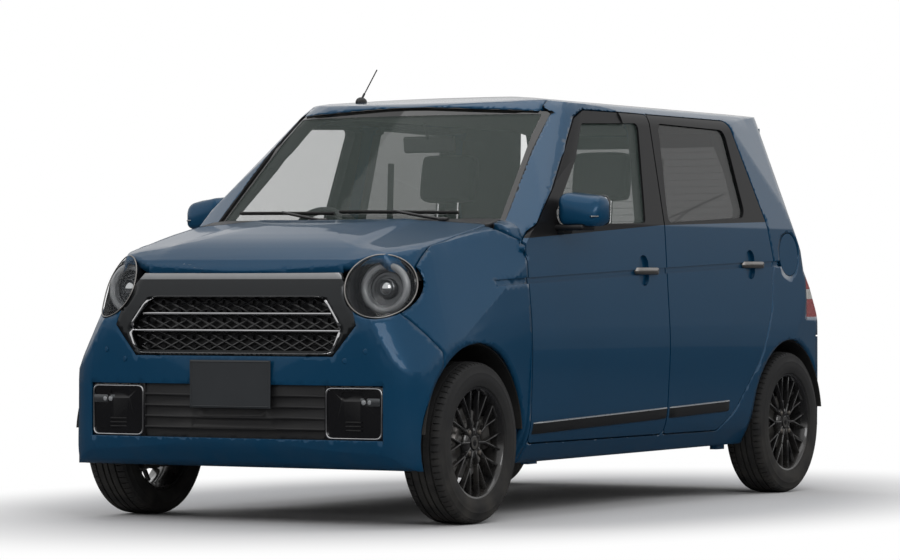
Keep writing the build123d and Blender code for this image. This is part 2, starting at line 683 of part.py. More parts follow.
def fuel_lid():
    """The lid and its arm, which passes round the edge of the skin to the pin."""
    x, y = FUEL_PIN
    arm = [(-4, 0), (-4, -40), (-41, -40), (-41, 17), (-49, 17), (-49, -48), (4, -48), (4, 0)]
    arm = Pos(x, y, 0) * along_z(arm, FUEL_LID[1] - 7, FUEL_LID[1] + 7)
    eye = rod((x, y, FUEL_LID[1] - 7), (x, y, FUEL_LID[1] + 7), 7)
    hole = rod((x, y, FUEL_LID[1] - 8), (x, y, FUEL_LID[1] + 8), FUEL_PIN_RADIUS + STUB_FIT)
    return (layer(0.0, GLASS_DEPTH) & fuel_pocket(FUEL_LID_RADIUS, 600, 800)) + (arm + eye - hole)


# ---------------------------------------------------------------- wheels and steering
def tyre(axle, y):
    half = TYRE_WIDTH / 2
    bead = half - 8
    profile = [
        (RIM_RADIUS + SEAL, -bead, 0),
        (TYRE_RADIUS - 40, -half, 20),
        (TYRE_RADIUS, -half + 6, TYRE_SHOULDER),
        (TYRE_RADIUS, half - 6, TYRE_SHOULDER),
        (TYRE_RADIUS - 40, half, 20),
        (RIM_RADIUS + SEAL, bead, 0),
    ]
    return place_wheel(revolve(face(profile), Axis.Y), axle, y)


def place_wheel(shape, axle, y):
    return Pos(axle, y, TYRE_RADIUS) * shape


def rim(axle, y):
    """Barrel, hub and five forked spokes. The outer face is towards +Y."""
    half = RIM_WIDTH / 2
    turn = Rot(90, 0, 0)
    barrel = turn * (Cylinder(RIM_RADIUS, RIM_WIDTH) - Cylinder(RIM_RADIUS - RIM_WALL, RIM_WIDTH))
    hub = Pos(0, half - HUB_THICKNESS / 2, 0) * turn * Cylinder(HUB_RADIUS, HUB_THICKNESS)
    wheel = barrel + hub
    for i in range(FORKS):
        apex = FORK_APEX[i % 2]
        fork = spoke_bar(HUB_RADIUS - 8, 0, apex + 6, 0, half)
        for turned in (-1, 1):
            fork = fork + spoke_bar(apex, 0, RIM_RADIUS - RIM_WALL / 2, turned * 180 / FORKS / 2, half)
        wheel = wheel + Rot(0, 360 / FORKS * i, 0) * fork
    wheel = wheel - (Pos(0, half - HUB_THICKNESS / 2 - 6, 0) * turn
                     * Cylinder(STUB_RADIUS + STUB_FIT, HUB_THICKNESS))
    return place_wheel(wheel, axle, y)


def spoke_bar(start, start_angle, end, end_angle, face_y):
    """A straight bar of the wheel's face between two points, given by radius and angle."""
    ends = [Vector(r * cos(radians(a)), 0, r * sin(radians(a))) for r,
            a in ((start, start_angle), (end, end_angle))]
    middle, run = (ends[0] + ends[1]) / 2, ends[1] - ends[0]
    turn = -atan2(run.Z, run.X) * 180 / pi
    return (Pos(middle.X, face_y - SPOKE_DEPTH / 2 - 4, middle.Z) * Rot(0, turn, 0)
            * Box(run.length + 4, SPOKE_DEPTH, SPOKE_WIDTH))


def hub_face():
    """How far out from the wheel's middle the stub axle ends."""
    return RIM_WIDTH / 2 - 6 - SEAL


def kingpin(height):
    """A point of the left kingpin's axis, that far along it from its lower ball joint."""
    way = Vector(0, -KINGPIN_LEAN, 1).normalized()
    return Vector(FRONT_AXLE, KINGPIN_Y, KINGPIN_Z) + way * height


def knuckle():
    """Left front upright with its stub axle, brake disc and suspension strut."""
    strut = rod(kingpin(8), kingpin((TOWER_Z - KINGPIN_Z) * hypot(1, KINGPIN_LEAN)), STRUT_RADIUS)
    disc = Pos(FRONT_AXLE, 624, TYRE_RADIUS) * Rot(90, 0, 0) * Cylinder(118, 12)
    stub = rod((FRONT_AXLE, 560, TYRE_RADIUS), (FRONT_AXLE, WHEEL_Y + hub_face(), TYRE_RADIUS), STUB_RADIUS)
    return (strut + disc + stub) & box(0, FAR, 0, FAR, 0, TOWER_Z - 4)


def subframe():
    """Crossmember with the engine's seat, the lower arms and their ball joints."""
    ball = rod(kingpin(-24), kingpin(8 - SEAL), 19)
    arm = ball + rod((FRONT_AXLE, KINGPIN_Y, KINGPIN_Z - 18), (FRONT_AXLE - 60, 300, KINGPIN_Z + 12), 12)
    arm = arm + box(1100, 1140, 330, 404, 200, 300 - SEAL)
    beam = box(FRONT_AXLE - 143, FRONT_AXLE + 60, -331, 331, 200, 236)
    return beam + arm + mirrored(arm) + box(FRONT_AXLE - 60, FRONT_AXLE + 60, -100, 100, 236, ENGINE_Z - SEAL)


def rear_axle():
    beam = box(REAR_AXLE + 90, REAR_AXLE + 150, -540, 540, 246, 300)
    side = box(REAR_AXLE - 40, REAR_AXLE + 150, 528, 548, 240, 320)
    side = side + rod((REAR_AXLE, 530, TYRE_RADIUS), (REAR_AXLE, WHEEL_Y + hub_face(), TYRE_RADIUS),
                      STUB_RADIUS)
    side = side + Pos(REAR_AXLE, 595, TYRE_RADIUS) * Rot(90, 0, 0) * Cylinder(100, 40)
    side = side + box(REAR_AXLE + 90, REAR_AXLE + 150, 470, 528, 290, BOOT_Z - SEAL)
    return beam + side + mirrored(side)


def steering_wheel():
    centre, way = steering_frame()
    plane = Plane(origin=centre, z_dir=way)
    ring = Torus(STEERING_WHEEL_RADIUS, STEERING_RIM)
    hub = Cylinder(46, 40)
    spokes = (Box(2 * STEERING_WHEEL_RADIUS, 30, 12)
              + Pos(0, -STEERING_WHEEL_RADIUS / 2, 0) * Box(30, STEERING_WHEEL_RADIUS, 12))
    column = Pos(0, 0, -COLUMN / 2) * Cylinder(16, COLUMN)
    return plane * (ring + hub + spokes + column)


def steering_frame():
    angle = radians(COLUMN_ANGLE)
    return Vector(470, -330, 960), Vector(-cos(angle), 0, sin(angle))


# ---------------------------------------------------------------- cabin and running gear
def dashboard():
    inner = SPLIT_Y - 10
    rows = [(844.7, 560), (700, 560), (600, 700), (590, 900), (640, 975, 30), (844.7, 990)]
    centre, way = steering_frame()
    end = centre - way * COLUMN
    dash = along_y(rows, -inner, inner) - rod(end + way * 60, end - way * 100, 40)
    return dash + rod(end - way * SEAL, end - way * 150, 20)


def front_seat(y):
    """Cushion, backrest with its headrest, and the base on the floor."""
    cushion = along_y([(180, 470, 60), (200, 335, 20), (-300, 335, 20), (-320, 440, 40)], y - 245, y + 245)
    back = along_y([(-335, 439.7), (-240, 443.5, 30), (-395, 1040, 40), (-480, 1020, 34)], y - 240, y + 240)
    rest = along_y([(-395, 1110, 30), (-350, 1350, 30), (-430, 1360, 30), (-470, 1110, 30)], y - 130, y + 130)
    post = [(-443, 1000), (-429, 1000), (-421, 1140), (-435, 1140)]
    posts = along_y(post, y - 67, y - 53) + along_y(post, y + 53, y + 67)
    base = box(-260, 160, y - 190, y + 190, FLOOR_Z + FLOOR + SEAL, 335 - SEAL)
    return [cushion, back + rest + posts, base]


def rear_seat():
    cushion = along_y([(-700, 520, 50), (-680, 400, 20), (-1090, 400, 20), (-1100, 500, 30)], -540, 540)
    back = along_y([(-1101, 500.3, 20), (-1020, 504.3, 40), (-1180, 1000, 50), (-1260, 990, 30)], -540, 540)
    base = box(-1085, STEP_X - 10, -500, 500, BOOT_Z + FLOOR + SEAL, 400 - SEAL)
    return Compound(children=[cushion, back, base])


def exhaust():
    pipe = rod((990, 380, 206), (-1195, 380, 206), 21) + rod((-1195, 380, 206), (-1330, 200, 262), 21)
    silencer = box(-1520, -1290, -230, 230, 240, BOOT_Z - SEAL)
    return pipe + Pos(-1195, 380, 206) * Sphere(21) + silencer + rod((-1500, 150, 275), (-1622, 150, 275), 21)


def fuel_tank():
    tank = box(-300, 330, -330, 330, 176, FLOOR_Z - SEAL)
    return fillet(tank.edges().filter_by(Axis.Z), 60)


def mirror_housing():
    """Left door mirror on its stalk."""
    shell = Pos(612, 800, 1100) * Box(134, 176, 132)
    shell = fillet(shell.edges(), 38)
    stalk = box(600, 660, 728, 800, 1036, 1050) + box(600, 660, 680, 730, 1010, 1050)
    return (shell + stalk) - block(-SEAL)


def antenna():
    foot = Pos(250, -350, 1529) * Box(60, 34, 22)
    return (foot + rod((250, -350, 1535), (130, -350, 1650), 4)) - block(-SEAL)


def spoiler():
    """Roof spoiler on the tailgate, bent like the roof."""
    top, thickness = HEIGHT - 1499, 18
    rows = [(-1402, 1300), (-1402, 1520), (-1512, 1520), (-1512, 1300)]
    wing = (Pos(0, 0, -top) * along_x(both(CABIN_SECTION))
            - Pos(0, 0, -top - thickness) * along_x(both(CABIN_SECTION)))
    return (wing & along_y(rows, -486, 486)) - block(-SEAL)


def plate_front():
    half = PLATE_WIDTH / 2
    return box(NOSE + SEAL, FRONT, -half, half, 402, 402 + PLATE_HEIGHT)


def plate_rear():
    """Rear plate, flat against the middle of the tailgate."""
    lean = (GATE_BASE[0] - GATE_TOP[0]) / (GATE_TOP[1] - GATE_BASE[1])
    height = 800 + PLATE_HEIGHT / 2
    centre = (GATE_BASE[0] - lean * (height - GATE_BASE[1]) - SEAL, 0, height)
    plane = Plane(origin=centre, x_dir=(0, 1, 0), z_dir=(-1, 0, -lean))
    return plane * Box(PLATE_WIDTH, PLATE_HEIGHT, 4, align=(Align.CENTER, Align.CENTER, Align.MIN))


def write(name, shape):
    shape.label = name
    export_step(shape, f"parts/{name}.step")


def main():
    os.makedirs("parts", exist_ok=True)
    side = left_side()
    write("side_right", mirrored(side))
    pocket, pin = fuel_hinge_pocket()
    write("side_left", side - fuel_pocket(FUEL_LID_RADIUS + 3, 640, 800) - pocket + pin)
    write("roof_panel", roof())
    write("windscreen", windscreen())
    write("cowl", cowl())
    write("floor_pan", floor())
    write("front_frame", front_frame())
    write("front_fenders", pair(fender()))
    write("front_bumper", front_bumper())
    write("grille_mask", mask())
    write("grille", grille())
    write("lower_grille", lower_grille())
    write("fog_bezels", pair(fog_bezel()))
    write("headlamps", pair(headlamp()))
    write("tail_lamps", pair(tail_lamp()))
    write("rear_bumper", rear_bumper())
    write("bonnet", bonnet())
    write("tailgate", tailgate())
    write("tailgate_glass", gate_glass())
    doors = [("front", FRONT_DOOR, FRONT_WINDOW, FRONT_HANDLE), ("rear", REAR_DOOR, REAR_WINDOW, REAR_HANDLE)]
    for name, outline, window, handle in doors:
        left = door(outline, window, handle)
        glass = door_glass(window)
        write(f"door_{name}_left", left)
        write(f"door_{name}_right", mirrored(left))
        write(f"glass_{name}_left", glass)
        write(f"glass_{name}_right", mirrored(glass))
    write("fuel_lid", fuel_lid())
    for end, axle in (("front", FRONT_AXLE), ("rear", REAR_AXLE)):
        wheel, rubber = rim(axle, WHEEL_Y), tyre(axle, WHEEL_Y)
        write(f"rim_{end}_left", wheel)
        write(f"rim_{end}_right", mirrored(wheel))
        write(f"tyre_{end}_left", rubber)
        write(f"tyre_{end}_right", mirrored(rubber))
    write("knuckle_left", knuckle())
    write("knuckle_right", mirrored(knuckle()))
    write("front_subframe", subframe())
    write("rear_axle", rear_axle())
    write("engine_block", box(1010, 1470, -330, 330, 300, 840))
    write("dashboard", dashboard())
    write("front_seats", Compound(children=front_seat(340) + front_seat(-340)))
    write("rear_seat", rear_seat())
    write("exhaust", exhaust())
    write("fuel_tank", fuel_tank())
    front_liner = wheel_liner(FRONT_AXLE + ARCH_OFFSET, ARCH_RADIUS, 404 + SEAL, 716, 320)
    write("front_wheel_liners", pair(front_liner - rod(kingpin(300), kingpin(600), STRUT_RADIUS + 8)))
    write("rear_wheel_liners", pair(wheel_liner(REAR_AXLE, REAR_ARCH_RADIUS, 545 + SEAL, 720, 335)))
    write("mirror_left", mirror_housing())
    write("mirror_right", mirrored(mirror_housing()))
    write("spoiler", spoiler())
    write("antenna", antenna())
    write("plate_front", plate_front())
    write("plate_rear", plate_rear())
    write("steering_wheel", steering_wheel())


if __name__ == "__main__":
    main()
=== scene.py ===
"""Small upright five-door car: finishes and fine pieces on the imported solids."""
import sys
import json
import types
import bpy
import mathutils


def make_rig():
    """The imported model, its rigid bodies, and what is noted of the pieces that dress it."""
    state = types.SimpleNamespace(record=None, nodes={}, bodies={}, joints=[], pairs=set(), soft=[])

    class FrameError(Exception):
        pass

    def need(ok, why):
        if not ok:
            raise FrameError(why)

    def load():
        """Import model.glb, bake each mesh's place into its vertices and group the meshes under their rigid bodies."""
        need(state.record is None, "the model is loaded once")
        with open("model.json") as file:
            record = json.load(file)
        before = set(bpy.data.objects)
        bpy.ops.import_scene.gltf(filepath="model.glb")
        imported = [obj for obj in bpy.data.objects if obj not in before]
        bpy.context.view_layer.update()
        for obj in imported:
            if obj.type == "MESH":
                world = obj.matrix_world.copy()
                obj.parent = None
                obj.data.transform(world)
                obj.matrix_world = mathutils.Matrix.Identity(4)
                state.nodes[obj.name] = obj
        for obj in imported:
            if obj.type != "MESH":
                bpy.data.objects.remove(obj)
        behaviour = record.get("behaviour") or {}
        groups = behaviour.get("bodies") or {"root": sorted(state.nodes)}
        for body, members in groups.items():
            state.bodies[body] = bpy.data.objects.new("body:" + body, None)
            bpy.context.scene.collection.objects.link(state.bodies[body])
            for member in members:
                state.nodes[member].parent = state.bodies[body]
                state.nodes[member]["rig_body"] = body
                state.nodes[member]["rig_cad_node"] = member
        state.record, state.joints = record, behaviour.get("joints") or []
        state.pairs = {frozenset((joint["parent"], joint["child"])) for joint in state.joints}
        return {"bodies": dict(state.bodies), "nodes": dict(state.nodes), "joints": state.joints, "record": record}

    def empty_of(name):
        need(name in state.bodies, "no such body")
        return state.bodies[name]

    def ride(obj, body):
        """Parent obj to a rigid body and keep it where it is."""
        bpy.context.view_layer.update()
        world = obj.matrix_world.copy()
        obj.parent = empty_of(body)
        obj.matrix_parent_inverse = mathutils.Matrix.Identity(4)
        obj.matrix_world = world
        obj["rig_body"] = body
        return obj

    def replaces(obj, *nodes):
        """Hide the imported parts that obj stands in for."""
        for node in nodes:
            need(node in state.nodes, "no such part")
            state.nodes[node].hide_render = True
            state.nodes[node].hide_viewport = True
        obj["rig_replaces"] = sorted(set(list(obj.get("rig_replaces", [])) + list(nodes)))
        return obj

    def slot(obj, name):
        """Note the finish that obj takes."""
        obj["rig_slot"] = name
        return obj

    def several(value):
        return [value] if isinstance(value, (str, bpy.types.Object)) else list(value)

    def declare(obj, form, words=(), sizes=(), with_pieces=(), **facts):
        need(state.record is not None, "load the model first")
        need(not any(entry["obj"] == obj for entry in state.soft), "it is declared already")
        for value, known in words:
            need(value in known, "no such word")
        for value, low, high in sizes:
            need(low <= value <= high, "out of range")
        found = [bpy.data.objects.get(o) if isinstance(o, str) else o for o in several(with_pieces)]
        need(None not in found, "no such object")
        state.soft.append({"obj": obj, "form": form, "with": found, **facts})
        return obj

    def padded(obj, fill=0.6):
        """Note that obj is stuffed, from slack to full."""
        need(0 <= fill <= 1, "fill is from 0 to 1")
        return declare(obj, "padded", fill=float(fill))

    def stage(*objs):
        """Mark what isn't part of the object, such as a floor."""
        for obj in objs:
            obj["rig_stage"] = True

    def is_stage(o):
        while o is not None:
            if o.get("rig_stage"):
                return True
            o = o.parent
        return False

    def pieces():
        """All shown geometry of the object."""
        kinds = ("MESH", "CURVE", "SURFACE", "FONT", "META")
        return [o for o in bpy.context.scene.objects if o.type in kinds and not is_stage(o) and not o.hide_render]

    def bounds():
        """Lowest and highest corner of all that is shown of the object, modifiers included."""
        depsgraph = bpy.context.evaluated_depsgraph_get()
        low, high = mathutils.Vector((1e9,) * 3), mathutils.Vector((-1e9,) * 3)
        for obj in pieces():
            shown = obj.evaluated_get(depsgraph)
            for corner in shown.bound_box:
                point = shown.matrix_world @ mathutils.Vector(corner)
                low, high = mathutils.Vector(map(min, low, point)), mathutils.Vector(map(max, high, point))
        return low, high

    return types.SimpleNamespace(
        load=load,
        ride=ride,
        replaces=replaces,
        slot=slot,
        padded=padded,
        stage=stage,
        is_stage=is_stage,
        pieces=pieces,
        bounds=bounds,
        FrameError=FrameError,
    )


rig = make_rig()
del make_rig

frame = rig.load()

import json
import math

import bmesh
import bpy
import numpy as np
from bpy.props import FloatProperty, FloatVectorProperty, IntProperty, PointerProperty
from bpy.types import Operator, Panel, PropertyGroup
from mathutils import Matrix, Vector
from mathutils.bvhtree import BVHTree
from mathutils.kdtree import KDTree

bl_info = {
    "name": "Small Car Details",
    "version": (1, 0, 0),
    "blender": (4, 5, 0),
    "location": "3D View > Sidebar > Small Car",
    "description": "Builds the finishes, lamps, wheels, seats and trim of a small five-door car",
    "category": "Object",
}

NODES = frame["nodes"]
SLOTS = {row["node"]: row["material_slot"] for row in frame["record"]["subparts"]}
HANDS = (("left", 1), ("right", -1))
FRONT_AXLE, REAR_AXLE, WHEEL_Y, WHEEL_Z = 1.2435, -1.2765, 0.6525, 0.281
LAMP_CENTRE = Vector((1.578, 0.536, 0.820))
LAMP_AXIS = Vector((math.cos(math.radians(10)), math.sin(math.radians(10)), 0.12)).normalized()
GRILLE = [(0.353, 0.783), (0.432, 0.676), (0.396, 0.595)]  # half of the opening, y and z
STEER_CENTRE, STEER_ANGLE = Vector((0.470, -0.330, 0.960)), math.radians(28)
BELT = [(0.90, 0.990), (-0.179, 1.052), (-1.20, 1.080)]  # lower edge of the windows, x and z


# ---------------------------------------------------------------- sizes and colours
class CarFinish(PropertyGroup):
    paint: FloatVectorProperty(name="Paint", description="Body colour", subtype="COLOR", size=3, min=0, max=1,
                               default=(0.004, 0.050, 0.112))
    flake: FloatProperty(name="Flake", description="Strength of the metal flakes", default=0.35, min=0, max=1)
    mask: FloatVectorProperty(name="Grille surround", description="Colour round the grille", subtype="COLOR",
                              size=3, min=0, max=1, default=(0.016, 0.018, 0.020))
    seat: FloatVectorProperty(name="Seats", description="Seat fabric colour", subtype="COLOR", size=3, min=0,
                              max=1, default=(0.022, 0.023, 0.026))


class WheelSizes(PropertyGroup):
    tyre_radius: FloatProperty(name="Tyre radius", description="Outside radius", default=0.281, unit="LENGTH")
    tyre_half: FloatProperty(name="Half width", description="Half of the tyre's width", default=0.0825,
                             unit="LENGTH")
    rim_radius: FloatProperty(name="Rim radius", description="Radius of the rim's seat", default=0.1905,
                              unit="LENGTH")
    forks: IntProperty(name="Forks", description="Number of forked spokes", default=10, min=5, max=14)
    pitches: IntProperty(name="Tread pitches", description="Tread blocks round the tyre", default=72, min=40,
                         max=90)


class LampSizes(PropertyGroup):
    radius: FloatProperty(name="Lamp radius", description="Radius of the round lamps", default=0.112,
                          unit="LENGTH")
    ring: FloatProperty(name="Ring radius", description="Middle radius of the light ring", default=0.077,
                        unit="LENGTH")
    recess: FloatProperty(name="Recess", description="Depth of the ring behind the cover", default=0.045,
                          unit="LENGTH")
    lens: FloatProperty(name="Lens radius", description="Radius of the projector lens", default=0.027,
                        unit="LENGTH")


class TrimSizes(PropertyGroup):
    handle: FloatProperty(name="Handle length", description="Length of a door handle", default=0.150,
                          unit="LENGTH")


def sizes():
    return bpy.context.scene


# ---------------------------------------------------------------- shading
def node(tree, kind, feeds=None, **settings):
    """Add a shader node. A feed is a value, or the node or socket that it comes from."""
    made = tree.nodes.new("ShaderNode" + kind)
    for key, value in settings.items():
        setattr(made, key, value)
    feed(tree, made, feeds or {})
    return made


def feed(tree, made, feeds):
    """Set a node's inputs to values, or link them to nodes or sockets."""
    for key, value in feeds.items():
        if isinstance(value, bpy.types.Node):
            value = value.outputs[0]
        if isinstance(value, bpy.types.NodeSocket):
            tree.links.new(value, made.inputs[key])
        else:
            made.inputs[key].default_value = value


def maths(tree, operation, *values):
    """The result of a sum on values, nodes or sockets."""
    return node(tree, "Math", dict(enumerate(values)), operation=operation).outputs[0]


def effect(name, inputs, outputs):
    tree = bpy.data.node_groups.new(name, "ShaderNodeTree")
    for label, kind, value in inputs:
        tree.interface.new_socket(label, in_out="INPUT", socket_type="NodeSocket" + kind).default_value = value
    for label, kind in outputs:
        tree.interface.new_socket(label, in_out="OUTPUT", socket_type="NodeSocket" + kind)
    return tree, tree.nodes.new("NodeGroupInput"), tree.nodes.new("NodeGroupOutput")


def variation_effect():
    """Slow cloudiness of colour and roughness."""
    tree, start, end = effect("cloudiness", [("Colour", "Color", (0.5, 0.5, 0.5, 1)), ("Scale", "Float", 6.0),
                              ("Amount", "Float", 0.1), ("Roughness", "Float", 0.4)],
                              [("Colour", "Color"), ("Roughness", "Float")])
    where = node(tree, "TexCoord").outputs["Object"]
    cloud = node(tree, "TexNoise", {"Vector": where, "Scale": start.outputs["Scale"], "Detail": 4.0})
    shift = maths(tree, "SUBTRACT", cloud.outputs["Fac"], 0.5)
    push = maths(tree, "MULTIPLY", shift, start.outputs["Amount"])
    bright = maths(tree, "ADD", push, 1.0)
    tint = node(tree, "HueSaturation", {"Color": start.outputs["Colour"], "Value": bright})
    tree.links.new(tint.outputs[0], end.inputs["Colour"])
    rough = maths(tree, "MULTIPLY", bright, start.outputs["Roughness"])
    tree.links.new(rough, end.inputs["Roughness"])
    return tree


def dust_effect():
    """Fine dust that thickens towards the road."""
    tree, start, end = effect("road_dust", [("Colour", "Color", (0.5, 0.5, 0.5, 1)),
                                            ("Roughness", "Float", 0.4),
                                            ("Dust", "Color", (0.16, 0.145, 0.12, 1)),
                                            ("Height", "Float", 0.45), ("Amount", "Float", 0.3)],
                              [("Colour", "Color"), ("Roughness", "Float")])
    where = node(tree, "TexCoord").outputs["Object"]
    height = node(tree, "SeparateXYZ", {0: where}).outputs["Z"]
    low = node(tree, "MapRange", {"Value": height, "From Min": start.outputs["Height"], "From Max": 0.05})
    cloud = node(tree, "TexNoise", {"Vector": where, "Scale": 14.0, "Detail": 6.0})
    patch = node(tree, "MapRange", {"Value": cloud.outputs["Fac"], "From Min": 0.3, "From Max": 0.75})
    cover = maths(tree, "MULTIPLY", low.outputs[0], patch.outputs[0])
    cover = maths(tree, "MULTIPLY", cover, start.outputs["Amount"])
    colour = node(tree, "MixRGB", {0: cover, 1: start.outputs["Colour"], 2: start.outputs["Dust"]})
    rough = node(tree, "Mix", {0: cover, 2: start.outputs["Roughness"], 3: 0.85})
    tree.links.new(colour.outputs[0], end.inputs["Colour"])
    tree.links.new(rough.outputs[0], end.inputs["Roughness"])
    return tree


def grain_effect():
    """Leather-like grain of moulded plastic."""
    tree, start, end = effect("moulded_grain", [("Scale", "Float", 900.0)], [("Height", "Float")])
    where = node(tree, "TexCoord").outputs["Object"]
    cells = node(tree, "TexVoronoi", {"Vector": where, "Scale": start.outputs["Scale"]})
    tree.links.new(cells.outputs["Distance"], end.inputs["Height"])
    return tree


def weave_effect():
    """Over-and-under threads of woven cloth."""
    tree, start, end = effect("weave", [("Scale", "Float", 260.0)], [("Height", "Float"), ("Mask", "Float")])
    where = node(tree, "TexCoord").outputs["Object"]
    sized = node(tree, "VectorMath", {0: where, "Scale": start.outputs["Scale"]}, operation="SCALE")
    parts = node(tree, "SeparateXYZ", {0: sized})
    waves = []
    for first, second in (("X", "Z"), ("Y", "Z")):
        total = maths(tree, "ADD", parts.outputs[first], parts.outputs[second])
        waves.append(maths(tree, "SINE", total))
    both = maths(tree, "MULTIPLY", *waves)
    tree.links.new(both, end.inputs["Height"])
    # Mask is 1 on the raised crowns of the threads; finishes use it to lighten the colour there as a painted
    # highlight.
    mask = node(tree, "MapRange", {"Value": both, "From Min": -1.0, "From Max": 1.0})
    tree.links.new(mask.outputs[0], end.inputs["Mask"])
    return tree


EFFECTS = {}


def use(tree, name, feeds):
    """Place a shared effect in a material."""
    if name not in EFFECTS:
        makers = {"cloudiness": variation_effect, "road_dust": dust_effect, "moulded_grain": grain_effect,
                  "weave": weave_effect}
        EFFECTS[name] = makers[name]()
    placed = node(tree, "Group", node_tree=EFFECTS[name])
    feed(tree, placed, feeds)
    return placed


def material(name, **sockets):
    made = bpy.data.materials.new(name)
    made.use_nodes = True
    shader = made.node_tree.nodes["Principled BSDF"]
    for key, value in sockets.items():
        shader.inputs[key.replace("_", " ")].default_value = value
    return made, made.node_tree, shader


def finish(name, colour, rough, metal=0.0, cloud=0.25, scale=8.0, dust=0.0, grain=0.0, grain_scale=900.0,
           weave=0.0, weave_scale=900.0, **sockets):
    """A plain finish with cloudiness, and dust, grain or weave where they are asked for."""
    made, tree, shader = material(name, Metallic=metal, **sockets)
    cloudy = use(tree, "cloudiness", {"Colour": (*colour, 1), "Scale": scale, "Amount": cloud,
                                      "Roughness": rough})
    colour_out, rough_out = cloudy.outputs["Colour"], cloudy.outputs["Roughness"]
    if weave:
        cloth = use(tree, "weave", {"Scale": weave_scale})
        # Painted highlight: the colour is lightened on the raised crowns of the threads, where the weave's Mask is
        # high.
        light = node(tree, "HueSaturation", {"Color": colour_out, "Value": 1.9}).outputs[0]
        colour_out = node(tree, "MixRGB", {0: cloth.outputs["Mask"], 1: colour_out, 2: light}).outputs[0]
        bump = node(tree, "Bump", {"Height": cloth.outputs["Height"], "Strength": weave, "Distance": 0.0006})
        feed(tree, shader, {"Normal": bump})
    if grain:
        cells = use(tree, "moulded_grain", {"Scale": grain_scale})
        bump = node(tree, "Bump", {"Height": cells.outputs["Height"], "Strength": grain, "Distance": 0.0004})
        feed(tree, shader, {"Normal": bump})
    if dust:
        dusty = use(tree, "road_dust", {"Colour": colour_out, "Roughness": rough_out, "Amount": dust})
        colour_out, rough_out = dusty.outputs["Colour"], dusty.outputs["Roughness"]
    tree.links.new(colour_out, shader.inputs["Base Color"])
    tree.links.new(rough_out, shader.inputs["Roughness"])
    return made


def belt_mask(tree, where):
    """1 above the lower edge of the windows."""
    parts = node(tree, "SeparateXYZ", {0: where})
    (x0, z0), (x1, z1), (x2, z2) = BELT
    front = node(tree, "MapRange", {"Value": parts.outputs["X"], "From Min": x1, "From Max": x0, "To Min": z1,
                                    "To Max": z0})
    rear = node(tree, "MapRange", {"Value": parts.outputs["X"], "From Min": x2, "From Max": x1,
                                   "To Min": z2 - z1, "To Max": 0.0})
    line = maths(tree, "ADD", front.outputs[0], rear.outputs[0])
    return maths(tree, "GREATER_THAN", parts.outputs["Z"], line)


def body_paint(name, inside=None, belt=False, trim=(0.025, 0.026, 0.028)):
    """Metallic paint under clear lacquer. inside is the way in which the trimmed side faces."""
    look = sizes().car_finish
    made, tree, shader = material(name, Coat_Weight=0.55, Coat_Roughness=0.04, Coat_IOR=1.32,
                                  Specular_IOR_Level=0.15)
    where = node(tree, "TexCoord")
    cells = node(tree, "TexVoronoi", {"Vector": where.outputs["Object"], "Scale": 1500.0})
    flake = maths(tree, "MULTIPLY", cells.outputs["Distance"], look.flake)
    bright = maths(tree, "ADD", flake, 1.0 - look.flake / 3)
    tint = node(tree, "HueSaturation", {"Color": (*look.paint, 1), "Value": bright})
    cloudy = use(tree, "cloudiness", {"Colour": tint, "Scale": 3.0, "Amount": 0.10, "Roughness": 0.34})
    dusty = use(tree, "road_dust", {"Colour": cloudy.outputs["Colour"],
                                    "Roughness": cloudy.outputs["Roughness"], "Amount": 0.10})
    colour, rough = dusty.outputs["Colour"], dusty.outputs["Roughness"]
    masks = []
    if belt:
        masks.append((belt_mask(tree, where.outputs["Object"]), (0.012, 0.012, 0.013), 0.30))
    if inside:
        way = node(tree, "VectorMath", {0: where.outputs["Normal"], 1: inside}, operation="DOT_PRODUCT")
        masks.append((maths(tree, "GREATER_THAN", way.outputs["Value"], 0.55), trim, 0.7))
    metal = None
    for mask, other, roughness in masks:
        colour = node(tree, "MixRGB", {0: mask, 1: colour, 2: (*other, 1)}).outputs[0]
        rough = node(tree, "Mix", {0: mask, 2: rough, 3: roughness}).outputs[0]
        bare = maths(tree, "SUBTRACT", 1.0, mask)
        metal = bare if metal is None else maths(tree, "MULTIPLY", metal, bare)
    if metal is None:
        shader.inputs["Metallic"].default_value = 0.25
    else:
        tree.links.new(maths(tree, "MULTIPLY", metal, 0.25), shader.inputs["Metallic"])
        tree.links.new(metal, shader.inputs["Coat Weight"])
    tree.links.new(colour, shader.inputs["Base Color"])
    tree.links.new(rough, shader.inputs["Roughness"])
    return made


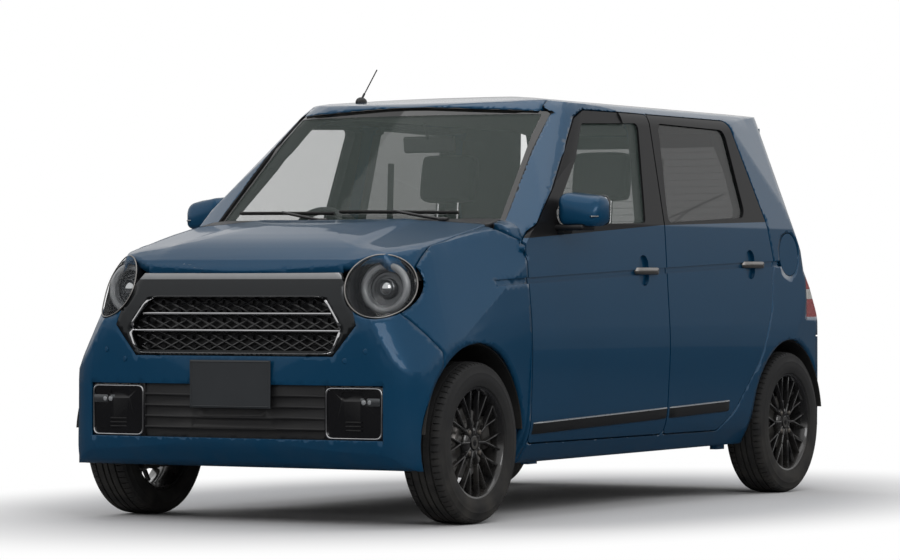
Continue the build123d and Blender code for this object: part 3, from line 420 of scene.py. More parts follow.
def glass_finish(name, colour, alpha, frit=None, lines=None):
    """Thin glass, with a dark printed border or heater lines where they are asked for."""
    made, tree, shader = material(name, Specular_IOR_Level=0.6, Coat_Weight=0.0)
    where = node(tree, "TexCoord").outputs["Object"]
    cloud = node(tree, "TexNoise", {"Vector": where, "Scale": 3.0})
    rough = node(tree, "MapRange", {"Value": cloud.outputs["Fac"], "To Min": 0.015, "To Max": 0.05})
    feed(tree, shader, {"Roughness": rough})
    tint = node(tree, "HueSaturation", {"Color": (*colour, 1), "Value": 1.0})
    colour_out, opaque = tint.outputs[0], None
    parts = node(tree, "SeparateXYZ", {0: where})
    if frit:
        wide = maths(tree, "ABSOLUTE", parts.outputs["Y"])
        lean = node(tree, "MapRange", {"Value": parts.outputs["Z"], "From Min": 1.036, "From Max": 1.465,
                                       "To Min": frit[0], "To Max": frit[1]})
        side = maths(tree, "GREATER_THAN", wide, lean.outputs[0])
        top = maths(tree, "GREATER_THAN", parts.outputs["Z"], frit[2])
        foot = maths(tree, "LESS_THAN", parts.outputs["Z"], frit[3])
        opaque = maths(tree, "MAXIMUM", side, top)
        opaque = maths(tree, "MAXIMUM", opaque, foot)
    if lines:
        wave = maths(tree, "MODULO", parts.outputs["Z"], lines)
        opaque = maths(tree, "LESS_THAN", wave, 0.0014)
    if opaque is None:
        shade = node(tree, "MapRange", {"Value": cloud.outputs["Fac"], "To Min": alpha * 0.96,
                                        "To Max": alpha * 1.04})
        feed(tree, shader, {"Alpha": shade})
    else:
        shade = node(tree, "Mix", {0: opaque, 2: alpha, 3: 0.99})
        feed(tree, shader, {"Alpha": shade})
        colour_out = node(tree, "MixRGB", {0: opaque, 1: colour_out, 2: (0.008, 0.008, 0.008, 1)}).outputs[0]
    tree.links.new(colour_out, shader.inputs["Base Color"])
    return made


LOOKS = {}


def look(name):
    """The finish of that name, made once."""
    if name not in LOOKS:
        LOOKS[name] = FINISHES[name]()
    return LOOKS[name]


FINISHES = {
    "gloss_black": lambda: finish("gloss_black", (0.005, 0.005, 0.006), 0.16, cloud=0.3, Coat_Weight=0.3),
    "wheel_black": lambda: finish("wheel_black", (0.010, 0.010, 0.011), 0.20, cloud=0.3, dust=0.25,
                                  Coat_Weight=0.6),
    "black_plastic": lambda: finish("black_plastic", (0.008, 0.008, 0.009), 0.5, grain=0.3, dust=0.12),
    "liner": lambda: finish("liner", (0.010, 0.010, 0.010), 0.85, grain=0.5, grain_scale=350, dust=0.4),
    "chrome": lambda: finish("chrome", (0.62, 0.62, 0.63), 0.09, metal=1.0, cloud=0.3, scale=30),
    "satin_silver": lambda: finish("satin_silver", (0.36, 0.37, 0.38), 0.28, metal=1.0, cloud=0.2, scale=60),
    "titanium": lambda: finish("titanium", (0.26, 0.25, 0.24), 0.34, metal=0.9, cloud=0.2, scale=40),
    "machined": lambda: finish("machined", (0.42, 0.41, 0.40), 0.32, metal=1.0, cloud=0.5, scale=90, dust=0.15),
    "cast": lambda: finish("cast", (0.075, 0.073, 0.07), 0.62, metal=0.6, grain=0.6, grain_scale=400,
                           dust=0.35),
    "alloy": lambda: finish("alloy", (0.34, 0.34, 0.33), 0.48, metal=0.85, grain=0.5, grain_scale=500),
    "steel": lambda: finish("steel", (0.22, 0.20, 0.18), 0.42, metal=0.9, cloud=0.6, scale=14, dust=0.3),
    "underbody": lambda: finish("underbody", (0.02, 0.021, 0.022), 0.72, cloud=0.5, grain=0.5, grain_scale=260,
                                dust=0.5),
    "carpet": lambda: finish("carpet", (0.018, 0.018, 0.019), 0.95, cloud=0.5, scale=40, weave=0.8,
                             weave_scale=1400),
    "cabin_plastic": lambda: finish("cabin_plastic", (0.020, 0.020, 0.022), 0.6, grain=0.45, grain_scale=700),
    "cabin_grey": lambda: finish("cabin_grey", (0.12, 0.12, 0.125), 0.5, grain=0.4, grain_scale=700),
    "leather": lambda: finish("leather", (0.014, 0.014, 0.015), 0.46, grain=0.6, grain_scale=520),
    "seat_fabric": lambda: finish("seat_fabric", tuple(sizes().car_finish.seat), 0.88, cloud=0.4, weave=0.8,
                                  weave_scale=1100, Sheen_Weight=0.3),
    "seat_leather": lambda: finish("seat_leather", (0.016, 0.016, 0.018), 0.5, grain=0.6, grain_scale=480),
    "rubber": lambda: finish("rubber", (0.014, 0.014, 0.014), 0.75, grain=0.2, dust=0.3),
    "lamp_black": lambda: finish("lamp_black", (0.006, 0.006, 0.007), 0.22, cloud=0.3),
    "lamp_grey": lambda: finish("lamp_grey", (0.10, 0.105, 0.11), 0.25, metal=0.7, cloud=0.2),
    "light_ring": lambda: finish("light_ring", (0.26, 0.27, 0.28), 0.30, cloud=0.2, scale=60, Coat_Weight=0.6),
    "garnish": lambda: finish("garnish", (0.012, 0.013, 0.014), 0.34, metal=0.2, cloud=0.2, Coat_Weight=0.3),
    "mirror": lambda: finish("mirror", (0.75, 0.77, 0.78), 0.03, metal=1.0, cloud=0.05),
    "screen": lambda: finish("screen", (0.01, 0.012, 0.016), 0.12, cloud=0.2, Coat_Weight=0.5),
    "red_lens": lambda: finish("red_lens", (0.32, 0.008, 0.008), 0.14, cloud=0.3, scale=30, Coat_Weight=1.0),
    "plate": lambda: finish("plate", (0.032, 0.036, 0.040), 0.42, metal=0.2, cloud=0.15, grain=0.15),
    "clear_glass": lambda: glass_finish("clear_glass", (0.10, 0.14, 0.125), 0.22),
    "screen_glass": lambda: glass_finish("screen_glass", (0.10, 0.14, 0.125), 0.18,
                                         frit=(0.590, 0.512, 1.452, 1.062)),
    "dark_glass": lambda: glass_finish("dark_glass", (0.010, 0.012, 0.012), 0.60),
    "heated_glass": lambda: glass_finish("heated_glass", (0.012, 0.014, 0.014), 0.55, lines=0.028),
    "lamp_glass": lambda: glass_finish("lamp_glass", (0.10, 0.11, 0.12), 0.08),
}


# ---------------------------------------------------------------- eased body panels
SKINS = ["front_bumper", "front_fenders", "bonnet", "cowl", "grille_mask", "headlamps", "roof_panel",
         "side_left", "side_right", "door_front_left", "door_front_right", "door_rear_left", "door_rear_right",
         "tailgate", "rear_bumper"]
FOLLOWERS = ["fog_bezels", "lower_grille"]
PLAIN = ("headlamps", "door", "tailgate", "rear_bumper")  # eased with the rest, but drawn as they are
SAMPLE_STEP = 0.018
EASE_REACH = 0.060
PANEL_EDGE = 0.028
EASE_FROM, EASE_FULL = 1.10, 1.28  # the nose's easing fades in over this stretch of X
ROOF_FOOT, ROOF_RISE = 1.45, 0.04  # the roof's fades in from this height, over this rise
TAIL_END, TAIL_RUN = -1.30, 0.15  # and ends here, over this run
PUSH, PULL, PASSES = 1.0, -0.62, 4  # each smoothing pass is followed by one that undoes its shrinking
FIELD_REACH, FIELD_WIDTH = 0.045, 0.018  # how far a sample's move reaches, and its bell's width
MOST_CUTS = 8
PANELS = {}


def outer_samples():
    """Evenly spread places and normals on the outside of the body, away from gaps and grooves."""
    points, faces = [], []
    for name in SKINS:
        mesh, shift = NODES[name].data, len(points)
        points += [v.co.copy() for v in mesh.vertices]
        faces += [[shift + i for i in poly.vertices] for poly in mesh.polygons]
    tree = BVHTree.FromPolygons(points, faces)
    places, normals, seen = [], [], set()
    for face in faces:
        a, b, c = (points[i] for i in face)
        normal = (b - a).cross(c - a)
        if normal.length < 1e-10:
            continue
        normal.normalize()
        aside = normal.orthogonal().normalized()
        across = normal.cross(aside)
        steep = [normal * 0.42 + aside * math.cos(t) * 0.9 + across * math.sin(t) * 0.9
                 for t in (0.3, 1.57, 2.6, 3.6, 4.7, 5.8)]
        facing = tuple(round(v * 1.4) for v in normal)
        count = max(1, math.ceil(max((b - a).length, (c - a).length, (c - b).length) / SAMPLE_STEP))
        for i in range(count):
            for j in range(count - i):
                place = a + (b - a) * ((i + 0.33) / count) + (c - a) * ((j + 0.33) / count)
                key = (*(round(v / SAMPLE_STEP) for v in place), *facing)
                if key in seen:
                    continue
                seen.add(key)
                start_at = place + normal * 0.0008
                if tree.ray_cast(start_at, normal)[0] is not None:
                    continue
                if any(tree.ray_cast(start_at, way, 0.07)[0] is not None for way in steep):
                    continue
                places.append(place)
                normals.append(normal)
    return places, normals


def eased_field():
    """How each outer place moves when the body's creases are rounded off without shrinking it."""
    places, normals = outer_samples()
    tree = KDTree(len(places))
    for i, place in enumerate(places):
        tree.insert(place, i)
    tree.balance()
    first, second, weight = [], [], []
    for i, place in enumerate(places):
        near = tree.find_range(place, EASE_REACH)
        first += [i] * len(near)
        second += [j for _, j, _ in near]
        weight += [distance for _, _, distance in near]
    first, second = np.array(first), np.array(second)
    weight = np.exp(-(np.array(weight) / EASE_REACH * 2) ** 2)
    at, way = np.array([tuple(p) for p in places]), np.array([tuple(n) for n in normals])
    weight *= (way[first] * way[second]).sum(1) > 0.15
    total = np.bincount(first, weight, len(places))[:, None]

    def mean(rows):
        return np.stack([np.bincount(first, weight * rows[second, k], len(places)) for k in range(3)],
                        1) / total

    way = mean(way)
    way /= np.linalg.norm(way, axis=1)[:, None]
    moved = at.copy()
    for push in (PUSH, PULL) * PASSES:
        moved += push * way * ((mean(moved) - moved) * way).sum(1)[:, None]
    return tree, moved - at


def dense_copy(name, tree):
    """A merged copy of a packed panel whose outside has no long edges."""
    mesh = NODES[name].data.copy()
    piece = bpy.data.objects.new(f"{name}_panel", mesh)
    bpy.context.scene.collection.objects.link(piece)
    shape = bmesh.new()
    shape.from_mesh(mesh)
    bmesh.ops.remove_doubles(shape, verts=shape.verts, dist=0.0004)
    bmesh.ops.dissolve_degenerate(shape, edges=shape.edges, dist=0.0004)
    for _ in range(MOST_CUTS):
        edges = [edge for edge in shape.edges if edge.calc_length() > PANEL_EDGE]
        edges = [edge for edge in edges if edge.calc_length() > 0.4
                 or tree.find((edge.verts[0].co + edge.verts[1].co) / 2)[2] < 0.022]
        if not edges:
            break
        bmesh.ops.subdivide_edges(shape, edges=edges, cuts=1)
        bmesh.ops.triangulate(shape, faces=[face for face in shape.faces if len(face.verts) > 3])
    flat = [edge for edge in shape.edges if len(edge.link_faces) == 2 and edge.calc_face_angle(1) < 0.01]
    bmesh.ops.beautify_fill(shape, faces=shape.faces, edges=flat)
    shape.to_mesh(mesh)
    shape.free()
    return piece


def bonnet_rise(place):
    """The raised middle of the bonnet, between two soft creases."""
    edge = 0.33 + 0.10 * (place.x - 1.0)
    inside = min(1, max(0, (edge + 0.03 - abs(place.y)) / 0.06))
    front = min(1, max(0, (1.60 - place.x) / 0.22))
    return 0.008 * inside * inside * (3 - 2 * inside) * front


class CAR_OT_panels(Operator):
    """Body panels with their creases rounded off"""
    bl_idname = "small_car.panels"
    bl_label = "Body panels"

    def execute(self, context):
        tree, moves = eased_field()
        plan = node_finishes()
        for name in SKINS + FOLLOWERS:
            if name.startswith(PLAIN):
                continue
            piece = dense_copy(name, tree)
            count = len(piece.data.vertices)
            shift = np.zeros((count, 3))
            for i, v in enumerate(piece.data.vertices):
                near = tree.find_range(v.co, FIELD_REACH)
                if near:
                    share = np.exp(-(np.array([d for _, _, d in near]) / FIELD_WIDTH) ** 2)
                    nose = (v.co.x - EASE_FROM) / (EASE_FULL - EASE_FROM)
                    roof = min((v.co.z - ROOF_FOOT) / ROOF_RISE, (v.co.x - TAIL_END) / TAIL_RUN)
                    fade = min(1, max(0, nose, roof))
                    pulled = (moves[[k for _, k, _ in near]] * share[:, None]).sum(0)
                    shift[i] = pulled / (share.sum() + 0.05) * fade
            if name == "bonnet":
                shift[:, 2] += [bonnet_rise(v.co) for v in piece.data.vertices]
            places = np.zeros(count * 3)
            piece.data.vertices.foreach_get("co", places)
            piece.data.vertices.foreach_set("co", places + shift.ravel())
            piece.data.materials.clear()
            piece.data.materials.append(look(plan[name]))
            only(piece)
            bpy.ops.object.shade_smooth_by_angle(angle=math.radians(50))
            modify(piece, "WEIGHTED_NORMAL", keep_sharp=True, weight=80)
            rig.ride(piece, NODES[name]["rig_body"])
            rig.slot(piece, SLOTS[name])
            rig.replaces(piece, name)
            PANELS[name] = piece
        return {"FINISHED"}


# ---------------------------------------------------------------- modelling
def only(piece):
    bpy.ops.object.select_all(action="DESELECT")
    piece.select_set(True)
    bpy.context.view_layer.objects.active = piece
    return piece


def start(kind, name, **options):
    """Add a primitive as the start of a piece."""
    bpy.ops.object.select_all(action="DESELECT")
    getattr(bpy.ops.mesh, f"primitive_{kind}_add")(**options)
    piece = bpy.context.object
    piece.name = name
    return piece


def modify(piece, kind, **settings):
    """Add a modifier and apply it."""
    only(piece)
    step = piece.modifiers.new(kind.lower(), kind)
    for key, value in settings.items():
        setattr(step, key, value)
    bpy.ops.object.modifier_apply(modifier=step.name)
    return piece


def edit(piece, pick, *steps):
    """Select the faces that pick(centre, normal) chooses, and run each edit step on them."""
    only(piece)
    bpy.ops.object.mode_set(mode="EDIT")
    bpy.ops.mesh.select_mode(type="FACE")
    bpy.ops.mesh.select_all(action="DESELECT")
    shape = bmesh.from_edit_mesh(piece.data)
    for side in shape.faces:
        side.select_set(bool(pick(side.calc_center_median(), side.normal)))
    bmesh.update_edit_mesh(piece.data)
    for step, options in steps:
        getattr(bpy.ops.mesh, step)(**options)
    bpy.ops.object.mode_set(mode="OBJECT")
    return piece


def extrude(x):
    """An edit step that draws the chosen faces out along X."""
    return ("extrude_region_move", {"TRANSFORM_OT_translate": {"value": (x, 0, 0)}})


def set_place(piece, place=(0, 0, 0), turn=None):
    """Put the piece's place and turn into its mesh."""
    matrix = Matrix.Translation(place) @ (turn.to_4x4() if turn else Matrix())
    piece.data.transform(matrix @ piece.matrix_basis)
    piece.matrix_basis = Matrix()
    return piece


def dress(piece, body, slot, looks, smooth=32):
    """Give a piece its finish, its body and its slot."""
    set_place(piece)
    only(piece)
    bpy.ops.object.mode_set(mode="EDIT")
    bpy.ops.mesh.select_all(action="SELECT")
    bpy.ops.mesh.normals_make_consistent(inside=False)
    bpy.ops.object.mode_set(mode="OBJECT")
    for name in ([looks] if isinstance(looks, str) else looks):
        piece.data.materials.append(look(name))
    only(piece)
    bpy.ops.object.shade_smooth_by_angle(angle=math.radians(smooth))
    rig.ride(piece, body)
    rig.slot(piece, slot)
    return piece


def twin(piece, name, matrix, body):
    """A copy of a finished piece with its own mesh, moved by a matrix."""
    copy = piece.copy()
    copy.data = piece.data.copy()
    copy.name = name
    bpy.context.scene.collection.objects.link(copy)
    copy.data.transform(matrix)
    if matrix.determinant() < 0:
        copy.data.flip_normals()
    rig.ride(copy, body)
    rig.slot(copy, piece["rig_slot"])
    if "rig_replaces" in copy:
        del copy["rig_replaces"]
    return copy


MIRROR_Y = Matrix.Scale(-1, 4, (0, 1, 0))
CORNER_STEPS = 4


def pair(piece, body, other=None):
    """The same piece on the car's right-hand side."""
    return twin(piece, piece.name.replace("left", "right"), MIRROR_Y, other or body)


def join(name, pieces):
    bpy.ops.object.select_all(action="DESELECT")
    for piece in pieces:
        set_place(piece)
        piece.select_set(True)
    bpy.context.view_layer.objects.active = pieces[0]
    bpy.ops.object.join()
    pieces[0].name = name
    return pieces[0]


def slab(name, size, place, bevel=0.003, turn=None, segments=2):
    """A block with rounded edges."""
    piece = start("cube", name, size=1.0)
    piece.data.transform(Matrix.Diagonal((*size, 1)))
    if bevel:
        modify(piece, "BEVEL", width=min(bevel, min(size) * 0.45), segments=segments, limit_method="ANGLE")
    return set_place(piece, place, turn)


def tube(name, points, radius, closed=False, sides=4, smooth=False):
    """A round bar along a line of points."""
    curve = bpy.data.curves.new(name, "CURVE")
    curve.dimensions = "3D"
    line = curve.splines.new("NURBS" if smooth else "POLY")
    line.points.add(len(points) - 1)
    for spot, point in zip(line.points, points):
        spot.co = (*point, 1)
    line.use_cyclic_u = closed
    if smooth:
        line.order_u = 3
        line.use_endpoint_u = not closed
        line.resolution_u = 6
    curve.bevel_depth = radius
    curve.bevel_resolution = sides
    curve.use_fill_caps = not closed
    piece = bpy.data.objects.new(name, curve)
    bpy.context.scene.collection.objects.link(piece)
    only(piece)
    bpy.ops.object.convert(target="MESH")
    return bpy.context.object


def outline(name, points, faces=()):
    """A mesh of bare points joined in a line, as the start of a spin."""
    mesh = bpy.data.meshes.new(name)
    mesh.from_pydata(points, [(i, i + 1) for i in range(len(points) - 1)] if not faces else [], faces)
    piece = bpy.data.objects.new(name, mesh)
    bpy.context.scene.collection.objects.link(piece)
    return piece


def turned(name, profile, centre, axis, steps=48, closed=True):
    """Spin a profile of (radius, height) about an axis."""
    points = [(r, 0, h) for r, h in profile]
    if closed:
        points.append(points[0])
    piece = outline(name, points)
    only(piece)
    bpy.ops.object.mode_set(mode="EDIT")
    bpy.ops.mesh.select_all(action="SELECT")
    bpy.ops.mesh.spin(steps=steps, angle=2 * math.pi, center=(0, 0, 0), axis=(0, 0, 1))
    bpy.ops.mesh.select_all(action="SELECT")
    bpy.ops.mesh.remove_doubles(threshold=0.00001)
    bpy.ops.mesh.normals_make_consistent(inside=False)
    bpy.ops.object.mode_set(mode="OBJECT")
    return set_place(piece, centre, Vector(axis).to_track_quat("Z", "Y").to_matrix())


def sheet_of(name, outline_points, thickness):
    """A plate from a flat outline of points, thickened both ways."""
    piece = outline(name, outline_points, [tuple(range(len(outline_points)))])
    return modify(piece, "SOLIDIFY", thickness=thickness, offset=0)


def surface(*nodes):
    """The outer surface of some nodes, for laying pieces on."""
    points, faces = [], []
    for name in nodes:
        mesh, shift = PANELS.get(name, NODES[name]).data, len(points)
        points += [v.co.copy() for v in mesh.vertices]
        faces += [[shift + i for i in poly.vertices] for poly in mesh.polygons]
    return BVHTree.FromPolygons(points, faces)


def land(tree, origin, way):
    """Where a line from outside first meets a surface."""
    hit = tree.ray_cast(Vector(origin), Vector(way))[0]
    if hit is None:
        raise RuntimeError(f"nothing to rest on at {tuple(origin)}")
    return hit


def front_x(tree, y, z):
    return land(tree, (3, y, z), (-1, 0, 0)).x


def side_y(tree, x, z):
    return land(tree, (x, 3, z), (0, -1, 0)).y


def rounded(points, radius):
    """A closed outline with its corners rounded."""
    result = []
    for i, point in enumerate(points):
        here = Vector(point)
        before, after = Vector(points[i - 1]) - here, Vector(points[(i + 1) % len(points)]) - here
        cut = min(radius, before.length * 0.45, after.length * 0.45)
        a, b = here + before.normalized() * cut, here + after.normalized() * cut
        for k in range(CORNER_STEPS + 1):
            t = k / CORNER_STEPS
            result.append(a * (1 - t) ** 2 + here * 2 * t * (1 - t) + b * t * t)
    return result


# ---------------------------------------------------------------- wheels
WHEEL_PLACES = [(end, hand, x, sign) for end, x in (("front", FRONT_AXLE), ("rear", REAR_AXLE))
                for hand, sign in HANDS]


def wheel_matrix(x, sign):
    turn = Matrix() if sign > 0 else Matrix.Rotation(math.pi, 4, "Z")
    return Matrix.Translation((x, sign * WHEEL_Y, WHEEL_Z)) @ turn


def at_wheel(source, name, x, sign):
    """A copy of a piece that was made about the Y axis, at one of the wheels."""
    piece = source.copy()
    piece.data = source.data.copy()
    piece.name = name
    bpy.context.scene.collection.objects.link(piece)
    piece.data.transform(wheel_matrix(x, sign))
    return piece


def tyre_mesh(size):
    """One tyre about the Y axis, with ribs, sipes and shoulder blocks."""
    half, outer, seat = size.tyre_half, size.tyre_radius, size.rim_radius
    edge = [(half - 0.012, seat + 0.0012), (half - 0.005, seat + 0.006), (half - 0.001, seat + 0.022),
            (half, seat + 0.038), (half - 0.0006, seat + 0.041), (half - 0.0006, seat + 0.052),
            (half - 0.002, seat + 0.054), (half - 0.006, outer - 0.016), (half - 0.009, outer - 0.0125),
            (half - 0.013, outer - 0.007), (half - 0.021, outer - 0.003), (half - 0.034, outer - 0.0012)]
    ribs = [(0.0440, outer - 0.0012), (0.0434, outer - 0.0075), (0.0376, outer - 0.0075),
            (0.0370, outer - 0.0004), (0.0150, outer), (0.0144, outer - 0.0075), (0.0086, outer - 0.0075),
            (0.0080, outer)]
    half_profile = edge + ribs
    profile = half_profile + [(-y, r) for y, r in reversed(half_profile)]
    stations = []
    pitch = 2 * math.pi / size.pitches
    for i in range(size.pitches):
        stations += [(i * pitch, True), (i * pitch + pitch * 0.14, True), (i * pitch + pitch * 0.17, False),
                     (i * pitch + pitch * 0.97, False)]
    points, sides = [], []
    for angle, cut in stations:
        for y, r in profile:
            shoulder = 0.046 < abs(y) < half - 0.004 and r > outer - 0.018
            radius = min(r, outer - 0.0075 - max(0.0, abs(y) - 0.062) * 0.35) if cut and shoulder else r
            points.append((radius * math.cos(angle), y, radius * math.sin(angle)))
    count, total = len(profile), len(stations)
    for i in range(total):
        j = (i + 1) % total
        for k in range(count):
            m = (k + 1) % count
            sides.append((i * count + k, i * count + m, j * count + m, j * count + k))
    piece = outline("tyre", points, sides)
    wrap = piece.data.uv_layers.new(name="tread")
    for loop in piece.data.loops:
        x, y, z = piece.data.vertices[loop.vertex_index].co
        wrap.data[loop.index].uv = (math.atan2(z, x) * size.pitches / (2 * math.pi), y * 100)
    return piece


def tyre_finish():
    """Rubber with fine sipes across the tread and rings on the sidewall."""
    made, tree, shader = material("tyre_rubber", Specular_IOR_Level=0.35)
    cloudy = use(tree, "cloudiness", {"Colour": (0.016, 0.016, 0.0165, 1), "Scale": 16.0, "Amount": 0.5,
                                      "Roughness": 0.72})
    dusty = use(tree, "road_dust", {"Colour": cloudy.outputs["Colour"],
                                    "Roughness": cloudy.outputs["Roughness"], "Amount": 0.22})
    feed(tree, shader, {"Base Color": dusty.outputs["Colour"], "Roughness": dusty.outputs["Roughness"]})
    wrap = node(tree, "UVMap", uv_map="tread").outputs[0]
    parts = node(tree, "SeparateXYZ", {0: wrap})
    slant = maths(tree, "MULTIPLY", parts.outputs["Y"], 0.12)
    run = maths(tree, "ADD", parts.outputs["X"], slant)
    turn = maths(tree, "MULTIPLY", run, 2.0)
    saw = maths(tree, "FRACT", turn)
    sipe = maths(tree, "GREATER_THAN", saw, 0.09)
    wide = maths(tree, "ABSOLUTE", parts.outputs["Y"])
    tread = maths(tree, "LESS_THAN", wide, 6.0)
    depth = maths(tree, "MULTIPLY", sipe, tread)
    bump = node(tree, "Bump", {"Height": depth, "Strength": 0.9, "Distance": 0.0015})
    feed(tree, shader, {"Normal": bump})
    return made


FINISHES["tyre_rubber"] = tyre_finish


class CAR_OT_tyres(Operator):
    """Four tyres with ribs, shoulder blocks and sipes"""
    bl_idname = "small_car.tyres"
    bl_label = "Tyres"

    def execute(self, context):
        first = tyre_mesh(context.scene.car_wheels)
        for end, hand, x, sign in WHEEL_PLACES:
            piece = at_wheel(first, f"tread_{end}_{hand}", x, sign)
            dress(piece, f"wheel_{end}_{hand}", "tyre", "tyre_rubber", smooth=24)
            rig.replaces(piece, f"tyre_{end}_{hand}")
        bpy.data.objects.remove(first)
        return {"FINISHED"}


def fork(index, size):
    """One forked spoke about the Y axis, its face towards +Y."""
    apex = (0.088, 0.073)[index % 2]
    tip, spread = size.rim_radius - 0.008, math.pi / size.forks / 2
    bars = []
    runs = [((0.030, 0.0), (apex + 0.003, 0.0), 0.0085), ((apex, 0.0), (tip, spread), 0.0062),
            ((apex, 0.0), (tip, -spread), 0.0062)]
    for i, ((r0, a0), (r1, a1), width) in enumerate(runs):
        a, b = (Vector((r * math.cos(t), 0, r * math.sin(t))) for r, t in ((r0, a0), (r1, a1)))
        bar = start("cube", f"bar_{i}", size=1.0)
        length = (b - a).length
        bar.data.transform(Matrix.Diagonal((length, 0.018, width * 1.7, 1)))
        for corner in bar.data.vertices:
            if corner.co.y > 0:
                corner.co.z *= 0.55
            if corner.co.x > 0:
                corner.co.z *= 0.95
                corner.co.y += 0.002
        modify(bar, "BEVEL", width=0.0016, segments=2, limit_method="ANGLE")
        run = (b - a).normalized()
        turn = Matrix((run, Vector((0, 1, 0)), run.cross(Vector((0, 1, 0))))).transposed()
        bars.append(set_place(bar, (a + b) / 2 + Vector((0, 0.050, 0)), turn))
    piece = join("fork", bars)
    piece.data.transform(Matrix.Rotation(2 * math.pi / size.forks * index, 4, "Y"))
    return piece


class CAR_OT_rims(Operator):
    """Four wheels with forked spokes, barrels, caps, nuts and valves"""
    bl_idname = "small_car.rims"
    bl_label = "Rims"

    def execute(self, context):
        size = context.scene.car_wheels
        seat = size.rim_radius
        forks = join("forks", [fork(i, size) for i in range(size.forks)])
        barrel = turned("barrel", [(seat - 0.004, 0.060), (seat + 0.0055, 0.0665), (seat + 0.0070, 0.0700),
                                   (seat + 0.0045, 0.0722), (seat - 0.004, 0.0700), (seat - 0.010, 0.0600),
                                   (seat - 0.0125, 0.040), (seat - 0.022, 0.020), (seat - 0.026, 0.000),
                                   (seat - 0.022, -0.030), (seat - 0.010, -0.055), (seat - 0.006, -0.068),
                                   (seat + 0.005, -0.070), (seat + 0.006, -0.066), (seat - 0.0015, -0.060),
                                   (seat - 0.006, -0.050), (seat - 0.018, -0.030), (seat - 0.022, 0.000),
                                   (seat - 0.018, 0.020), (seat - 0.006, 0.040), (seat - 0.002, 0.058)],
                        (0, 0, 0), (0, 1, 0), steps=96)
        hub = turned("hub", [(0.0, 0.052), (0.026, 0.052), (0.0275, 0.056), (0.040, 0.0575), (0.0500, 0.056),
                             (0.056, 0.050), (0.060, 0.040), (0.058, 0.030), (0.0, 0.030)], (0, 0, 0),
                     (0, 1, 0), steps=48, closed=False)
        cap = turned("cap", [(0.0, 0.0600), (0.020, 0.0595), (0.0250, 0.0575), (0.0262, 0.052), (0.0, 0.050)],
                     (0, 0, 0), (0, 1, 0), steps=40, closed=False)
        nuts = []
        for i in range(4):
            angle = math.pi / 4 + i * math.pi / 2
            nut = start("cylinder", "nut", vertices=6, radius=0.0095, depth=0.020)
            modify(nut, "BEVEL", width=0.002, segments=2, limit_method="ANGLE", angle_limit=math.radians(50))
            nuts.append(set_place(nut, (0.050 * math.cos(angle), 0.052, 0.050 * math.sin(angle)),
                                  Matrix.Rotation(math.pi / 2, 3, "X")))
        valve = tube("valve", [(0.168, 0.040, 0.0), (0.163, 0.062, 0.0)], 0.0032)
        wheel = join("wheel_left", [barrel, forks, hub])
        parts = [(wheel, "wheel_black", "black_wheel"), (cap, "gloss_black", "black_plastic"),
                 (join("nuts", nuts), "steel", "cast_parts"), (valve, "rubber", "black_plastic")]
        for end, hand, x, sign in WHEEL_PLACES:
            for part, finish_name, slot in parts:
                piece = at_wheel(part, f"{part.name.replace('_left', '')}_{end}_{hand}", x, sign)
                dress(piece, f"wheel_{end}_{hand}", slot, finish_name, smooth=38)
                if part is wheel:
                    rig.replaces(piece, f"rim_{end}_{hand}")
        for part, _, _ in parts:
            bpy.data.objects.remove(part)
        return {"FINISHED"}


class CAR_OT_brakes(Operator):
    """Front discs with calipers, and rear drums"""
    bl_idname = "small_car.brakes"
    bl_label = "Brakes"

    def execute(self, context):
        disc = turned("disc", [(0.045, 0.034), (0.070, 0.034), (0.073, 0.022), (0.120, 0.022), (0.1215, 0.020),
                               (0.1215, 0.006), (0.120, 0.004), (0.066, 0.004), (0.064, 0.020), (0.045, 0.022)],
                      (0, 0, 0), (0, 1, 0), steps=72)
        drum = turned("drum", [(0.045, 0.032), (0.088, 0.030), (0.100, 0.024), (0.103, 0.014), (0.103, -0.020),
                               (0.106, -0.022), (0.106, -0.028), (0.090, -0.030), (0.045, -0.030)], (0, 0, 0),
                      (0, 1, 0), steps=72)
        for end, hand, x, sign in WHEEL_PLACES:
            source = disc if end == "front" else drum
            piece = at_wheel(source, f"{source.name}_{end}_{hand}", x, sign)
            dress(piece, f"wheel_{end}_{hand}", "cast_parts", "machined" if end == "front" else "cast",
                  smooth=35)
        for part in (disc, drum):
            bpy.data.objects.remove(part)
        caliper = slab("caliper_left", (0.056, 0.052, 0.110), (0, 0, 0), bevel=0.010, segments=3)
        edit(caliper, lambda c, n: n.x < -0.9, ("inset", {"thickness": 0.012, "depth": 0.0}), extrude(x=-0.008))
        set_place(caliper, (FRONT_AXLE - 0.118, WHEEL_Y + 0.012, WHEEL_Z + 0.030),
                  Matrix.Rotation(0.25, 3, "Y"))
        dress(caliper, "knuckle_left", "cast_parts", "cast")
        pair(caliper, "knuckle_left", "knuckle_right")
        return {"FINISHED"}


# ---------------------------------------------------------------- front
def on_front(tree, rows, lift):
    """Points of (y, z) laid on the nose, standing out by lift."""
    return [Vector((front_x(tree, y, z) + lift, y, z)) for y, z in rows]


def band(name, points, width, height):
    """A flat closed strip along a line of points on the nose, width across the line and height along X."""
    middle = sum(points, Vector()) / len(points)
    verts, sides = [], []
    count = len(points)
    for point in points:
        out = Vector((0, point.y - middle.y, point.z - middle.z)).normalized() * width / 2
        for shift, x in ((-out, -height), (-out, height * 0.6), (-out * 0.4, height), (out * 0.4, height),
                         (out, height * 0.6), (out, -height)):
            verts.append(point + shift + Vector((x, 0, 0)))
    for i in range(count):
        for k in range(6):
            m, j = (k + 1) % 6, (i + 1) % count
            sides.append((i * 6 + k, i * 6 + m, j * 6 + m, j * 6 + k))
    return outline(name, verts, sides)


